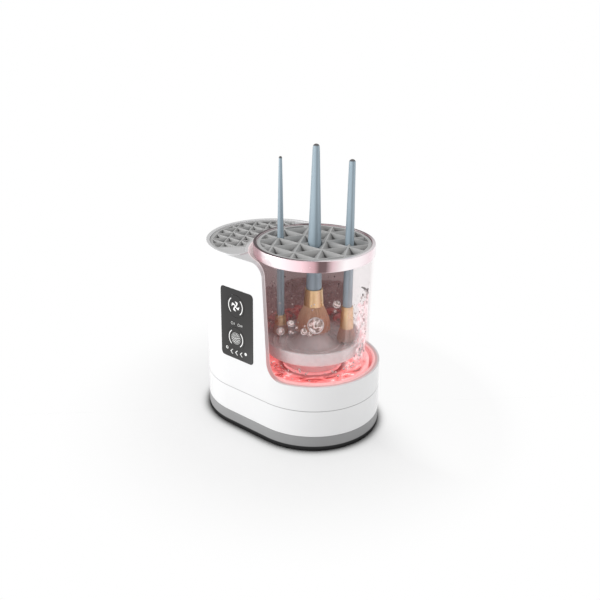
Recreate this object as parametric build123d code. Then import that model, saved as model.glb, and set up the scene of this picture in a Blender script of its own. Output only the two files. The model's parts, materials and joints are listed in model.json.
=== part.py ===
from build123d import *
import math
import os

os.makedirs("parts", exist_ok=True)

# Powered cosmetic-brush washer and dryer.  The plan is a slot shape, with a closed drying
# tower at -X, a lift-out wash cup at +X and the control panel on the -Y side.
# Millimetres, +Z up, origin at the centre of the footprint on the table.

# ---- driving dimensions ----
ARC_SPACING = 44.0            # between the two end-arc axes of the plan
CUP_X = ARC_SPACING / 2       # wash-cup axis, y = 0
TOWER_X = -ARC_SPACING / 2    # tower arc axis, y = 0
R_BASE = 56.1                 # end-arc radius of the housing at Z_BODY
DRAFT = 0.738                 # wall draft, degrees
WALL = 2.4
SEAM = 0.2                    # parting-line gap
R_CUT = 51.2                  # concave tower wall and well, about the cup axis
R_CUT_OUT = R_CUT + WALL

Z_BODY = 3.3                  # underside of the base band
Z_SKIRT = 12.7                # top of the base band
Z_LOWER = 35.3                # top of the lower shell
Z_LIP = 56.3                  # lip of the cup well
Z_HORN = 148.9                # flat top of the tower horns
Z_BEAD = 149.7                # top of the bead round the drying opening

MODULE = 0.8
GEAR_TEETH, PINION_TEETH = 46, 14
MOTOR_X = CUP_X - MODULE * (GEAR_TEETH + PINION_TEETH) / 2

FAN_X = -50.6                 # fan and heater axis, y = 0
SOCKET_X, SOCKET_Z = -12.0, 22.5    # power socket in the +Y wall

KEY_X, KEY_R = -11.5, 9.4
KEYS = {"dry_key": 108.6, "wash_key": 81.0}    # name: centre height
KEY_TRAVEL = 0.5
SWITCH_TIP_Y = -52.1          # outer end of the switch plungers

# Profiles are (radius, z) points: handle from its tip, ferrule and bristles downwards.
BRUSHES = {
    "left": dict(
        x=-5.7, y=-8.6, hole_r=2.98,
        handle=[(1.25, 220.0), (2.65, 153.0), (3.0, 130.0), (3.2, 88.6)],
        ferrule=[(3.9, 88.6), (4.4, 87.4), (4.9, 80.2)],
        bristles=[(4.6, 80.2), (6.1, 76.5), (6.4, 71.6)]),
    "centre": dict(
        x=22.2, y=0.2, hole_r=5.95,
        handle=[(2.6, 232.0), (5.3, 153.0), (5.8, 137.0), (6.25, 116.6)],
        ferrule=[(7.0, 116.6), (7.2, 115.4), (8.0, 102.3)],
        bristles=[(7.7, 102.3), (11.6, 94.6), (13.8, 88.0), (14.4, 80.5)]),
    "right": dict(
        x=44.0, y=16.5, hole_r=3.85,
        handle=[(2.5, 221.0), (3.5, 153.0), (3.75, 137.0), (3.9, 101.9)],
        ferrule=[(4.6, 101.9), (4.9, 100.8), (5.6, 83.2)],
        bristles=[(5.3, 83.2), (7.3, 77.0), (7.8, 71.4)]),
}


def mirrored(*points):
    """Each (x, y) point followed by its mirror image across y = 0."""
    return [(x, side * y) for x, y in points for side in (1, -1)]


TOWER_SCREWS = mirrored((-61.0, 29.2))
CUP_SCREWS = mirrored((CUP_X + 34.5, 34.5))
BASE_SCREWS = TOWER_SCREWS + CUP_SCREWS
FEET = mirrored((-44.0, 37.0), (44.0, 37.0))
GEARBOX_POSTS = mirrored((-13.0, 22.0), (46.0, 20.0))
BOARD_POSTS = mirrored((-62.0, 18.0), (-24.0, 18.0))
MOTOR_SCREWS = mirrored((MOTOR_X, 8.5))
FAN_SCREWS = [(FAN_X + dx, dy) for dx in (-15.4, 15.4) for dy in (-15.4, 15.4)]
BOARD_STUDS = [(-27.5, 117.5), (-27.5, 69.0)]    # control board, (x, z)


# ---- helpers ----
def wall_radius(z):
    """End-arc radius of the drafted housing wall at height z."""
    return R_BASE - (z - Z_BODY) * math.tan(math.radians(DRAFT))


def slot(radius, z):
    return Plane.XY.offset(z) * SlotCenterToCenter(ARC_SPACING, 2 * radius)


def body(offset, bottom, top):
    """Drafted slot-shaped solid, offset from the outer wall."""
    return extrude(slot(wall_radius(bottom) + offset, bottom), amount=top - bottom, taper=DRAFT)


def slot_prism(radius, bottom, top):
    return extrude(slot(radius, bottom), amount=top - bottom)


def prism(face, bottom, top):
    return extrude(Pos(0, 0, bottom) * face, amount=top - bottom)


def plate(x, width, depth, corner, bottom, top, y=0):
    """Round-cornered plate centred on (x, y)."""
    return prism(Pos(x, y) * RectangleRounded(width, depth, corner), bottom, top)


def rod(x, y, radius, bottom, top):
    return Pos(x, y, (bottom + top) / 2) * Cylinder(radius, top - bottom)


def rod_along_y(x, z, radius, y_low, y_high):
    centre = Pos(x, (y_low + y_high) / 2, z)
    return centre * Rot(90, 0, 0) * Cylinder(radius, y_high - y_low)


def tube(x, y, outer, inner, bottom, top):
    return rod(x, y, outer, bottom, top) - rod(x, y, inner, bottom - 1, top + 1)


def block(x, y, z):
    """Box from its (low, high) span on each axis."""
    centre = [(low + high) / 2 for low, high in (x, y, z)]
    return Pos(*centre) * Box(x[1] - x[0], y[1] - y[0], z[1] - z[0])


def turned(x, y, profile):
    """Solid of revolution about a vertical axis from closed (radius, z) points."""
    face = make_face(Plane.XZ * Polyline(*profile, close=True))
    return Pos(x, y, 0) * revolve(face, Axis.Z)


def screw(x, y, seat, head_r, head_h, shank_r, tip):
    """Cross-slot pan-head screw; the head stands on the side of the seat away from the tip."""
    out = 1 if seat > tip else -1
    crown = seat + out * head_h
    solid = turned(x, y, [
        (0, crown), (head_r * 0.62, crown), (head_r, seat + out * head_h * 0.45),
        (head_r, seat), (shank_r, seat), (shank_r, tip + out * shank_r), (0.15, tip), (0, tip)])
    length, width, depth = head_r * 1.15, 0.55, 1.0
    return solid - Pos(x, y, crown) * (Box(length, width, depth) + Box(width, length, depth))


def polar(centre, radius, degrees):
    angle = math.radians(degrees)
    return (centre[0] + radius * math.cos(angle), centre[1] + radius * math.sin(angle))


def flip(point):
    return (point[0], -point[1])


def wire_face(curves, plane=Plane.XY):
    return make_face(plane * Wire([curve.edge() for curve in curves]))


def save(name, *shapes):
    solids = [solid for shape in shapes for solid in shape.solids()]
    part = solids[0] if len(solids) == 1 else Compound(children=solids)
    part.label = name
    export_step(part, f"parts/{name}.step")


# ---- outlines of the tower top ----
def crescent(inset):
    """Tower-top crescent with rounded horn ends, drawn from tangent arcs."""
    outer_r, inner_r = wall_radius(Z_BEAD) - inset, R_CUT + inset
    end_x = -11.4 - inset
    outer_corner, inner_corner = 10.0 - inset, max(4.0 - inset, 0.5)
    reach = inner_r + inner_corner
    outer_centre = (end_x - outer_corner, -outer_r + outer_corner)
    inner_centre = (end_x - inner_corner,
                    -math.sqrt(reach ** 2 - (CUP_X - end_x + inner_corner) ** 2))

    # Tangent point of the inner corner on the concave arc.
    ratio = inner_r / reach
    tangent = (CUP_X + (inner_centre[0] - CUP_X) * ratio, inner_centre[1] * ratio)
    turn = math.degrees(math.atan2(tangent[1] - inner_centre[1], tangent[0] - inner_centre[0]))

    start = (TOWER_X, -outer_r)
    side = (outer_centre[0], -outer_r)
    outer_mid = polar(outer_centre, outer_corner, -45)
    end_outer = (end_x, outer_centre[1])
    end_inner = (end_x, inner_centre[1])
    inner_mid = polar(inner_centre, inner_corner, turn / 2)
    return wire_face([
        Line(start, side),
        ThreePointArc(side, outer_mid, end_outer),
        Line(end_outer, end_inner),
        ThreePointArc(end_inner, inner_mid, tangent),
        ThreePointArc(tangent, (CUP_X - inner_r, 0), flip(tangent)),
        ThreePointArc(flip(tangent), flip(inner_mid), flip(end_inner)),
        Line(flip(end_inner), flip(end_outer)),
        ThreePointArc(flip(end_outer), flip(outer_mid), flip(side)),
        Line(flip(side), flip(start)),
        ThreePointArc(flip(start), (TOWER_X - outer_r, 0), start)])


def chord_clip(shift):
    """Region on the tower side of two mirrored slanting chords, moved in by shift."""
    chord_start, chord_end = (-38.3, -46.0), (-25.0, -32.6)
    run, rise = chord_end[0] - chord_start[0], chord_end[1] - chord_start[1]
    length = math.hypot(run, rise)
    along = (run / length, rise / length)
    normal = (-along[1], along[0])       # towards the tower

    def at(forward, sideways):
        return tuple(chord_start[i] + along[i] * forward + normal[i] * (shift + sideways)
                     for i in (0, 1))

    corners = [at(-150, 0), at(150, 0), at(150, 200), at(-150, 200)]
    lower_half = make_face(Polyline(*corners, close=True))
    upper_half = make_face(Polyline(*[flip(corner) for corner in corners], close=True))
    return lower_half & upper_half


def lattice_outline(inset, shift):
    """The crescent, stopped at both horns by a slanting chord."""
    return crescent(3.0 + inset) & chord_clip(shift)


# ---- main shell ----
def side_cut():
    """Everything removed on the +X side of the tower, from an XZ profile."""
    normal = (0.9977, 0.068)             # of the sloping horn edge
    lean = 0.068 / 0.9977
    top, far = 175, 130
    horn_centre, horn_r = (5.4, 138.0), 10.9
    foot_r = 15.0
    horn_top = (horn_centre[0], Z_HORN)
    slope_top = (horn_centre[0] + horn_r * normal[0], horn_centre[1] + horn_r * normal[1])
    foot_z = Z_LIP + foot_r
    slope_x = slope_top[0] + (slope_top[1] - foot_z) * lean
    foot_centre = (slope_x + foot_r / normal[0], foot_z)
    slope_foot = (foot_centre[0] - foot_r * normal[0], foot_centre[1] - foot_r * normal[1])
    lip = (foot_centre[0], Z_LIP)
    face = wire_face([
        Line((horn_centre[0], top), horn_top),
        ThreePointArc(horn_top, polar(horn_centre, horn_r, 47), slope_top),
        Line(slope_top, slope_foot),
        ThreePointArc(slope_foot, polar(foot_centre, foot_r, (183.9 + 270) / 2), lip),
        Line(lip, (far, Z_LIP)),
        Line((far, Z_LIP), (far, top)),
        Line((far, top), (horn_centre[0], top))], Plane.XZ)
    return extrude(face, amount=80, both=True)


PANEL_X, PANEL_Z = (-28.2, 7.0), (63.0, 122.5)
PANEL_CORNER = 3.4


def panel_block(grow, corner):
    """Block through the -Y wall with the panel outline, grown all round."""
    centre = Pos(sum(PANEL_X) / 2, sum(PANEL_Z) / 2)
    width = PANEL_X[1] - PANEL_X[0] + 2 * grow
    height = PANEL_Z[1] - PANEL_Z[0] + 2 * grow
    face = Plane.XZ * (centre * RectangleRounded(width, height, corner))
    return Pos(0, -46, 0) * extrude(face, amount=14)


def main_shell():
    bead_inside = crescent(3.0)
    bead = prism(crescent(0.0), Z_HORN - 0.6, Z_BEAD) - prism(bead_inside, 140, 160)
    bead = fillet([e for e in bead.edges() if e.center().Z > Z_BEAD - 0.05], 0.55)
    shell = body(0, Z_LOWER + SEAM, Z_HORN) - side_cut()
    shell = shell + bead
    shell -= rod(CUP_X, 0, R_CUT, Z_LOWER - 5, 175)

    # Hollow of the tower and its stepped top opening.
    cavity = body(-WALL, Z_LOWER - 1, 144.4) - rod(CUP_X, 0, R_CUT_OUT, Z_LOWER - 5, 175)
    cavity = cavity & block((-100, 3.0), (-80, 80), (0, 175))
    shell -= cavity
    shell -= prism(bead_inside, 146.0, 160)
    shell -= prism(crescent(4.4), 140, 150)

    # Seat flange under the cup well.
    shell += tube(CUP_X, 0, R_CUT + 0.6, 46.0, Z_LOWER + SEAM, 37.8)
    shell -= [rod(x, y, 1.25, 30, 40) for x, y in CUP_SCREWS]

    # Control-panel recess, key windows and board studs.
    shell -= panel_block(0.15, PANEL_CORNER) - body(-1.25, 30, 150)
    for key_z in KEYS.values():
        shell -= rod_along_y(KEY_X, key_z, 3.2, -60, -45)
    for x, z in BOARD_STUDS:
        shell += rod_along_y(x, z, 2.2, -52.7, -50.35)
        shell -= rod_along_y(x, z, 0.85, -52.4, -49)

    # Screw bosses at the tower end.
    for x, y in TOWER_SCREWS:
        shell += rod(x, y, 4.2, Z_LOWER + SEAM, 52) & body(-0.6, Z_LOWER, 60)
        shell -= rod(x, y, 1.25, Z_LOWER - 1, 48)

    # Shelf that carries the fan and the heater.
    shelf = body(-WALL + 0.3, 40.0, 42.0) & block((-90, -10), (-27, 27), (0, 100))
    shell += shelf - rod(CUP_X, 0, R_CUT_OUT - 0.3, 0, 175)
    shell -= rod(FAN_X, 0, 15.6, 30, 50)
    shell -= [rod(x, y, 1.1, 38, 44) for x, y in FAN_SCREWS]
    return shell


save("main_shell", main_shell())


# ---- lower shell, base band, bottom cover and feet ----
SCREW_HOLE_R = 1.7


def lower_shell():
    z_tongue, z_inner_top = 9.9, Z_SKIRT + 2.5
    shell = body(0, Z_SKIRT + SEAM, Z_LOWER) - body(-WALL, Z_SKIRT - 1, Z_LOWER + 1)
    # Inner tongue that reaches down inside the base band, and its bridge to the wall.
    shell += body(-WALL - 0.1, z_tongue, z_inner_top) - body(-WALL - 1.5, 8, Z_LOWER)
    shell += body(-WALL + 0.3, Z_SKIRT + SEAM, z_inner_top) - body(-WALL - 1.5, 8, Z_LOWER)
    for x, y in BASE_SCREWS:
        shell += rod(x, y, 3.6, z_tongue, Z_LOWER) & body(-0.5, 5, 60)
    for x, y in BASE_SCREWS:
        shell -= rod(x, y, SCREW_HOLE_R, 0, 60)
    opening = extrude(RectangleRounded(9.6, 3.8, 1.85), amount=12, both=True)
    return shell - Pos(SOCKET_X, 55, SOCKET_Z) * Rot(90, 0, 0) * opening


def bottom_cover():
    floor = 3.0                          # posts start just inside the floor
    cover = slot_prism(55.4, 0.4, 3.1) + slot_prism(R_BASE - 2.75, 3.1, 5.4)
    cover -= slot_prism(50.4, 3.4, 6)
    cover -= [rod(x, y, 7.1, 0, 2.1) for x, y in FEET]
    for x, y in BASE_SCREWS:
        cover += rod(x, y, 5.0, floor, 9.6) & slot_prism(51.9, 0, 20)
    for x, y in BASE_SCREWS:
        cover -= rod(x, y, SCREW_HOLE_R, 0, 20)
        cover -= rod(x, y, 3.2, 0, 5.0)
    for x, y in GEARBOX_POSTS:
        cover += rod(x, y, 3.4, floor, 26.2)
        cover -= rod(x, y, 1.1, 14, 27)
    for x, y in BOARD_POSTS:
        cover += rod(x, y, 2.6, floor, 11.8)
        cover -= rod(x, y, 0.95, 5, 12)
    # Rest for the socket board, then the row of floor vents.
    cover += block((SOCKET_X - 6, SOCKET_X + 6), (37.0, 40.0), (floor, SOCKET_Z - 3.35))
    return cover - [block((-56 + 6 * i, -53.5 + 6 * i), (-14, 14), (0, 5)) for i in range(5)]


FOOT = [(0, 2.05), (0, 0), (6.4, 0), (7.0, 0.5), (7.0, 2.05)]    # (radius, z)

save("lower_shell", lower_shell())
save("base_skirt", body(0, Z_BODY, Z_SKIRT) - body(-WALL, Z_BODY - 1, Z_SKIRT + 1))
save("bottom_cover", bottom_cover())
save("rubber_feet", *[turned(x, y, FOOT) for x, y in FEET])

# ---- cup well, (radius, z) profiles ----
WELL = [
    (8.2, 38.0), (51.0, 38.0), (51.0, 55.6), (50.6, 56.0), (49.9, 56.0), (50.1, 41.0),
    (49.3, 40.0), (10.0, 40.0), (10.0, 42.8), (8.2, 42.8)]
WELL_BEARING_SEAT = [
    (4.42, 36.1), (8.4, 36.1), (8.4, 40.2), (6.52, 40.2), (6.52, 40.0), (4.42, 40.0)]
save("cup_well", turned(CUP_X, 0, WELL) + turned(CUP_X, 0, WELL_BEARING_SEAT))

# ---- drive train ----
PRESSURE_ANGLE = math.radians(20)
BACKLASH = 0.14
ADDENDUM, DEDENDUM = 0.85, 1.2           # in modules
GEAR_BOTTOM, GEAR_TOP = 30.6, 35.4
SHAFT_BORE_R = 3.02


def involute(angle):
    return math.tan(angle) - angle


def gear_face(teeth, turn=0.0):
    """Involute spur gear outline, turned by an angle in degrees."""
    pitch_r = MODULE * teeth / 2
    base_r = pitch_r * math.cos(PRESSURE_ANGLE)
    tip_r = pitch_r + ADDENDUM * MODULE
    root_r = pitch_r - DEDENDUM * MODULE
    half_tooth = (math.pi * MODULE / 2 - BACKLASH) / 2 / pitch_r
    start_r = max(base_r, root_r)

    flank = []                           # (radius, angle from the tooth centre)
    for step in range(6):
        radius = start_r + (tip_r - start_r) * step / 5
        pressure = math.acos(min(1.0, base_r / radius))
        flank.append((radius, half_tooth + involute(PRESSURE_ANGLE) - involute(pressure)))
    if root_r < base_r:
        flank.insert(0, (root_r, flank[0][1]))

    points = []
    for tooth in range(teeth):
        centre = 2 * math.pi * tooth / teeth + math.radians(turn)
        sides = [(r, centre - a) for r, a in flank] + [(r, centre + a) for r, a in flank[::-1]]
        points += [(r * math.cos(a), r * math.sin(a)) for r, a in sides]
    return make_face(Polyline(*points, close=True))


def drive_gear():
    gear = Pos(CUP_X, 0, 0) * prism(gear_face(GEAR_TEETH), GEAR_BOTTOM, GEAR_TOP)
    gear += tube(CUP_X, 0, 6.0, SHAFT_BORE_R, 30.0, 35.9)
    gear -= rod(CUP_X, 0, SHAFT_BORE_R, 20, 50)
    # Annular recesses that thin the web on both faces.
    recesses = tube(CUP_X, 0, 15.2, 7.6, GEAR_BOTTOM - 1, GEAR_BOTTOM + 1.4)
    recesses += tube(CUP_X, 0, 15.2, 7.6, GEAR_TOP - 1.4, GEAR_TOP + 1)
    return gear - recesses


def coupler(bore_r, disc_z, lug_z, first, half_width):
    """Disc on the cup axis with three sector lugs; first and half_width in degrees."""
    solid = tube(CUP_X, 0, 10.0, bore_r, *disc_z)
    length, origin = 30, (0, 0)
    for k in range(3):
        middle = 120 * k + first
        ring = tube(CUP_X, 0, 9.6, 5.6, *lug_z)
        sector = make_face(Polyline(
            origin, polar(origin, length, middle - half_width),
            polar(origin, length * 1.2, middle),
            polar(origin, length, middle + half_width), close=True))
        solid += ring & Pos(CUP_X, 0, 0) * prism(sector, lug_z[0] - 1, lug_z[1] + 1)
    return solid


def gearbox_plate():
    solid = plate(17.0, 72, 54, 8, 26.3, 28.8)
    solid -= rod(CUP_X, 0, 5.02, 20, 40)
    solid -= rod(MOTOR_X, 0, 3.25, 20, 40)
    solid -= [rod(x, y, 1.3, 20, 40) for x, y in MOTOR_SCREWS]
    solid -= [rod(x, y, 1.6, 20, 40) for x, y in GEARBOX_POSTS]
    return solid - [plate(34.0, 12, 8, 3, 20, 40, y=y) for y in (-16.5, 16.5)]


# (radius, z) profiles
LOWER_BEARING = [
    (3.04, 26.0), (5.0, 26.0), (5.0, 28.9), (5.6, 28.9), (5.6, 29.7), (3.04, 29.7)]
UPPER_BEARING = [(3.04, 36.2), (4.4, 36.2), (4.4, 39.98), (3.04, 39.98)]
SHAFT_SEAL = [
    (3.05, 40.3), (8.0, 40.3), (8.0, 42.4), (5.2, 42.4), (5.2, 41.2), (3.9, 41.2),
    (3.6, 42.4), (3.05, 42.4)]
MOTOR_CAN = [
    (1.04, 6.4), (3.2, 6.4), (3.2, 8.0), (11.4, 8.0), (12.0, 8.6), (12.0, 25.6),
    (11.6, 26.2), (3.1, 26.2), (3.1, 27.9), (1.04, 27.9)]

save("drive_gear", drive_gear())
save("output_shaft", rod(CUP_X, 0, 3.0, 25.2, 45.1))
save("output_bearings", turned(CUP_X, 0, LOWER_BEARING), turned(CUP_X, 0, UPPER_BEARING))
save("shaft_seal", turned(CUP_X, 0, SHAFT_SEAL))
save("drive_coupler", coupler(SHAFT_BORE_R, (43.4, 45.3), (45.0, 47.7), 0, 18))
save("gearbox_plate", gearbox_plate())
save("motor_can",
     turned(MOTOR_X, 0, MOTOR_CAN) - [rod(x, y, 1.02, 21, 40) for x, y in MOTOR_SCREWS])
save("motor_shaft", rod(MOTOR_X, 0, 1.0, 6.0, 35.6))
# The pinion is turned half a tooth so that it meshes with the gear.
pinion = prism(gear_face(PINION_TEETH, turn=180.0 / PINION_TEETH), 30.3, 35.3)
save("motor_pinion", Pos(MOTOR_X, 0, 0) * pinion - rod(MOTOR_X, 0, 1.01, 20, 50))

save("motor_screws", *[
    screw(x, y, seat=28.85, head_r=2.1, head_h=1.3, shank_r=1.0, tip=22.5)
    for x, y in MOTOR_SCREWS])
save("gearbox_screws", *[
    screw(x, y, seat=28.85, head_r=2.7, head_h=1.7, shank_r=1.08, tip=16.5)
    for x, y in GEARBOX_POSTS])
save("base_screws", *[
    screw(x, y, seat=4.95, head_r=2.9, head_h=2.0, shank_r=1.22, tip=46.5 if x < 0 else 37.6)
    for x, y in BASE_SCREWS])

# ---- fan and heater ----
FAN_BOTTOM, FAN_TOP = 42.1, 52.6
FAN_SIZE, FAN_CORNER = 35.6, 3.0
HEATER_HALF = 15.0                       # half width of the heater block
HEATER_Z = (54.5, 63.5)


def fan_frame():
    frame = plate(FAN_X, FAN_SIZE, FAN_SIZE, FAN_CORNER, FAN_BOTTOM, FAN_TOP)
    frame -= rod(FAN_X, 0, 16.2, FAN_BOTTOM - 1, FAN_TOP + 1)
    hub = tube(FAN_X, 0, 7.2, 0.80, FAN_BOTTOM, FAN_BOTTOM + 1.6)
    hub += tube(FAN_X, 0, 2.2, 0.80, FAN_BOTTOM + 1.5, FAN_BOTTOM + 6.4)
    frame += hub
    for k in range(3):
        turn = Rot(0, 0, 30 + 120 * k)
        frame += Pos(FAN_X, 0, FAN_BOTTOM + 0.7) * turn * Pos(11.9, 0, 0) * Box(11.0, 2.2, 1.4)
    return frame - [rod(x, y, 1.4, 38, 60) for x, y in FAN_SCREWS]


def fan_rotor():
    # (radius, height above the fan's underside): hub cap with a central pin
    hub = [(0, 9.9), (7.6, 9.9), (8.0, 9.4), (8.0, 2.2), (7.0, 2.2), (7.0, 8.9),
           (0.76, 8.9), (0.76, 0.3), (0, 0.3)]
    rotor = turned(FAN_X, 0, [(r, FAN_BOTTOM + height) for r, height in hub])
    for k in range(7):
        turn = Rot(0, 0, 360 / 7 * k)
        blade = Pos(11.6, 0, 0) * Rot(35, 0, 0) * Box(7.8, 9.2, 0.9)
        blade = Pos(FAN_X, 0, FAN_BOTTOM + 6.0) * turn * blade
        rotor += blade & tube(FAN_X, 0, 15.7, 7.5, FAN_BOTTOM + 2.3, FAN_BOTTOM + 9.6)
    return rotor


def heater_block():
    left, right = FAN_X - HEATER_HALF, FAN_X + HEATER_HALF
    y_span = (-HEATER_HALF, HEATER_HALF)
    bar_starts = [-HEATER_HALF + 6.0 * k for k in range(5)] + [13.4]
    bars = [block((left, right), (y, y + 1.6), HEATER_Z) for y in bar_starts]
    heater = bars[0]
    for bar in bars[1:]:
        heater += bar
    fin_starts = [left + 3.0 * k for k in range(1, 10)]
    heater += [block((x, x + 0.5), y_span, (55.2, 62.8)) for x in fin_starts]
    end_walls = block((left, left + 0.8), y_span, HEATER_Z)
    return heater + (end_walls + block((right - 0.8, right), y_span, HEATER_Z))


save("fan_frame", fan_frame())
save("fan_rotor", fan_rotor())
save("heater_housing", plate(FAN_X, FAN_SIZE, FAN_SIZE, FAN_CORNER, 52.8, 65.6)
     - plate(FAN_X, 31.6, 31.6, 1.5, 50, 70))
save("heater_block", heater_block())
save("fan_screws", *[
    screw(x, y, seat=39.9, head_r=2.1, head_h=1.2, shank_r=1.0, tip=51.0)
    for x, y in FAN_SCREWS])


# ---- lattices: triangular cells whose voids narrow and twist downwards ----
def triangle_cells(x_start, y_start, pitch, accept, shrink):
    """Shrunken corner triples of the triangles whose centroid is accepted."""
    row = pitch * math.sqrt(3) / 2
    cells = []
    for j in range(-9, 10):
        for i in range(-14, 15):
            x, y = x_start + pitch * i + pitch / 2 * j, y_start + row * j
            apex = (x + pitch / 2, y + row)
            pointing_up = [(x, y), (x + pitch, y), apex]
            pointing_down = [(x + pitch, y), (x + 1.5 * pitch, y + row), apex]
            for cell in (pointing_up, pointing_down):
                mid_x, mid_y = (sum(axis) / 3 for axis in zip(*cell))
                if accept(mid_x, mid_y):
                    cells.append([(mid_x + (px - mid_x) * shrink, mid_y + (py - mid_y) * shrink)
                                  for px, py in cell])
    return cells


def cell_void(cell, bottom, top, scale, turn, shift):
    """Void from the cell outline at the top to a scaled, turned, shifted one below."""
    mid_x, mid_y = (sum(axis) / 3 for axis in zip(*cell))
    cos, sin = math.cos(math.radians(turn)), math.sin(math.radians(turn))
    low = []
    for x, y in cell:
        u, v = (x - mid_x) * scale, (y - mid_y) * scale
        low.append(Vector(mid_x + shift[0] + u * cos - v * sin,
                          mid_y + shift[1] + u * sin + v * cos, bottom))
    high = [Vector(x, y, top) for x, y in cell]
    faces = [Face(Wire.make_polygon(low)), Face(Wire.make_polygon(high))]
    for i in range(3):
        j = (i + 1) % 3
        # Each wall is two flat facets, split along its diagonal.
        faces.append(Face(Wire.make_polygon([low[i], low[j], high[j]])))
        faces.append(Face(Wire.make_polygon([low[i], high[j], high[i]])))
    return Solid(Shell(faces))


def lattice(blank, cells, keep, bottom, top, scale, turn, shift):
    """Cut the cell voids, trimmed to the keep outline, and return the largest solid."""
    voids = []
    for cell in cells:
        # Guards against a cell whose facets do not close into a solid; it is left uncut.
        try:
            void = cell_void(cell, bottom, top, scale, turn, shift)
            if void.volume < 0:
                void = Solid(Shell(list(void.faces())))
            voids.append(void)
        except Exception:
            continue
    area = prism(keep, bottom - 1, top + 1)
    cuts = []
    for void in voids:
        trimmed = void & area
        if trimmed is None:
            continue
        for piece in (trimmed if isinstance(trimmed, (list, tuple)) else [trimmed]):
            # Slivers at the outline are left uncut.
            cuts += [solid for solid in piece.solids() if abs(solid.volume) > 0.3]
    return max((blank - cuts).solids(), key=lambda solid: solid.volume)


# ---- drying duct, tray and grid ----
def duct_outline(inset):
    outline = Pos(TOWER_X, 0) * Circle(50.4 - inset) - Pos(CUP_X, 0) * Circle(55.2 + inset)
    return outline & (Pos(-116 - inset, 0) * Rectangle(200, 87 - 2 * inset))


def drying_duct():
    floor = (65.8, 67.2)
    duct = prism(duct_outline(0), floor[0], 143.0) - prism(duct_outline(1.3), floor[1], 150)
    duct -= plate(FAN_X, 28, 28, 1.5, 60, 70)
    # Bars across the square inlet.
    return duct + [block((FAN_X - 15, FAN_X + 15), (-12.0 + 6 * k, -10.8 + 6 * k), floor)
                   for k in range(5)]


def drying_tray():
    tray = prism(crescent(3.15), 146.1, 148.6)
    tray -= prism(lattice_outline(0.05, -0.3), 147.0, 150)
    return tray - prism(lattice_outline(1.7, 1.6), 140, 150)


def drying_grid():
    blank = prism(lattice_outline(0.35, 0.0), 147.1, 148.5)
    blank += prism(lattice_outline(1.9, 1.8), 143.6, 148.5)
    keep = lattice_outline(2.5, 2.4)
    bounds = keep.bounding_box()

    def near(x, y):
        return bounds.min.X - 10 < x < bounds.max.X + 10 and abs(y) < 62

    cells = triangle_cells(-37.0, -46.0, pitch=14.0, accept=near, shrink=0.93)
    return lattice(blank, cells, keep, bottom=143.5, top=148.6,
                   scale=0.42, turn=-24, shift=(-1.6, 0.2))


save("drying_duct", drying_duct())
save("drying_tray", drying_tray())
save("drying_grid", drying_grid())

# ---- control panel, keys and boards ----
panel = panel_block(0, PANEL_CORNER - 0.1) & (body(0.2, 30, 150) - body(-1.2, 30, 150))
for key_z in KEYS.values():
    panel -= rod_along_y(KEY_X, key_z, KEY_R + 0.22, -70, -40)
save("control_panel", panel)

for name, key_z in KEYS.items():
    # A thin cap following the drafted wall, and a stem that stops short of its switch.
    key = rod_along_y(KEY_X, key_z, KEY_R, -60, -40)
    key = key & (body(0.28, 30, 150) - body(-0.62, 30, 150))
    key += rod_along_y(KEY_X, key_z, 2.6,
                       -wall_radius(key_z) + 0.3, SWITCH_TIP_Y - KEY_TRAVEL - 0.12)
    save(name, key)

control_board = block((-30.5, -5.0), (-50.2, -48.6), (65.0, 121.0))
for x, z in BOARD_STUDS:
    control_board -= rod_along_y(x, z, 1.1, -60, -40)
save("control_board", control_board)
BOARD_BACK = -48.55                      # y where the parts on the inner face start
save("board_components",
     block((-27, -17), (BOARD_BACK, -46.9), (88, 98)),
     block((-16.0, -9), (BOARD_BACK, -47.5), (71, 76)),
     block((-15, -11), (BOARD_BACK, -47.3), (100, 103)),
     *[block((-22 + 3.2 * k, -20.4 + 3.2 * k), (-50.95, -50.25), (65.9, 67.5))
       for k in range(4)])
save("tact_switches", *[
    block((KEY_X - 3, KEY_X + 3), (-51.6, -50.23), (key_z - 3, key_z + 3))
    + rod_along_y(KEY_X, key_z, 1.6, SWITCH_TIP_Y, -51.4) for key_z in KEYS.values()])
stud_screw = screw(0, 0, seat=0, head_r=1.7, head_h=1.1, shank_r=0.8, tip=-3.6)
save("board_screws",
     *[Pos(x, BOARD_BACK, z) * Rot(-90, 0, 0) * stud_screw for x, z in BOARD_STUDS],
     *[screw(x, y, seat=13.65, head_r=1.8, head_h=1.1, shank_r=0.9, tip=6.5)
       for x, y in BOARD_POSTS])

save("power_board",
     plate(-43.0, 46, 44, 2, 11.95, 13.55) - [rod(x, y, 1.1, 5, 20) for x, y in BOARD_POSTS])
POWER_TOP = 13.6                         # where the parts on the power board start
save("power_components",
     rod(-57, 6, 3.2, POWER_TOP, 22.0),
     rod(-57, -3, 3.2, POWER_TOP, 22.0),
     block((-50, -42), (-12, -4), (POWER_TOP, 17.5)),
     block((-38, -29), (-14, -6), (POWER_TOP, 15.4)),
     block((-50, -39), (4, 13), (POWER_TOP, 18.6)),
     block((-34, -27), (2, 12), (POWER_TOP, 19.0)))


def centred(middle, half):
    return (middle - half, middle + half)


def power_socket():
    sleeve = RectangleRounded(8.9, 3.2, 1.5) - RectangleRounded(8.3, 2.6, 1.2)
    socket = Pos(SOCKET_X, 0, SOCKET_Z) * Rot(90, 0, 0) * extrude(sleeve, amount=-54.4)
    # The sleeve is kept from y = 46.5 outwards and only up to x = -10.
    socket = socket & block((-60, -10), (46.5, 60), (10, 40))
    # Inner end wall and contact tongue.
    end_wall = block(centred(SOCKET_X, 4.2), (46.5, 47.3), centred(SOCKET_Z, 1.35))
    tongue = block(centred(SOCKET_X, 3.3), (47.0, 52.6), centred(SOCKET_Z, 0.35))
    return socket + (end_wall + tongue)


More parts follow.
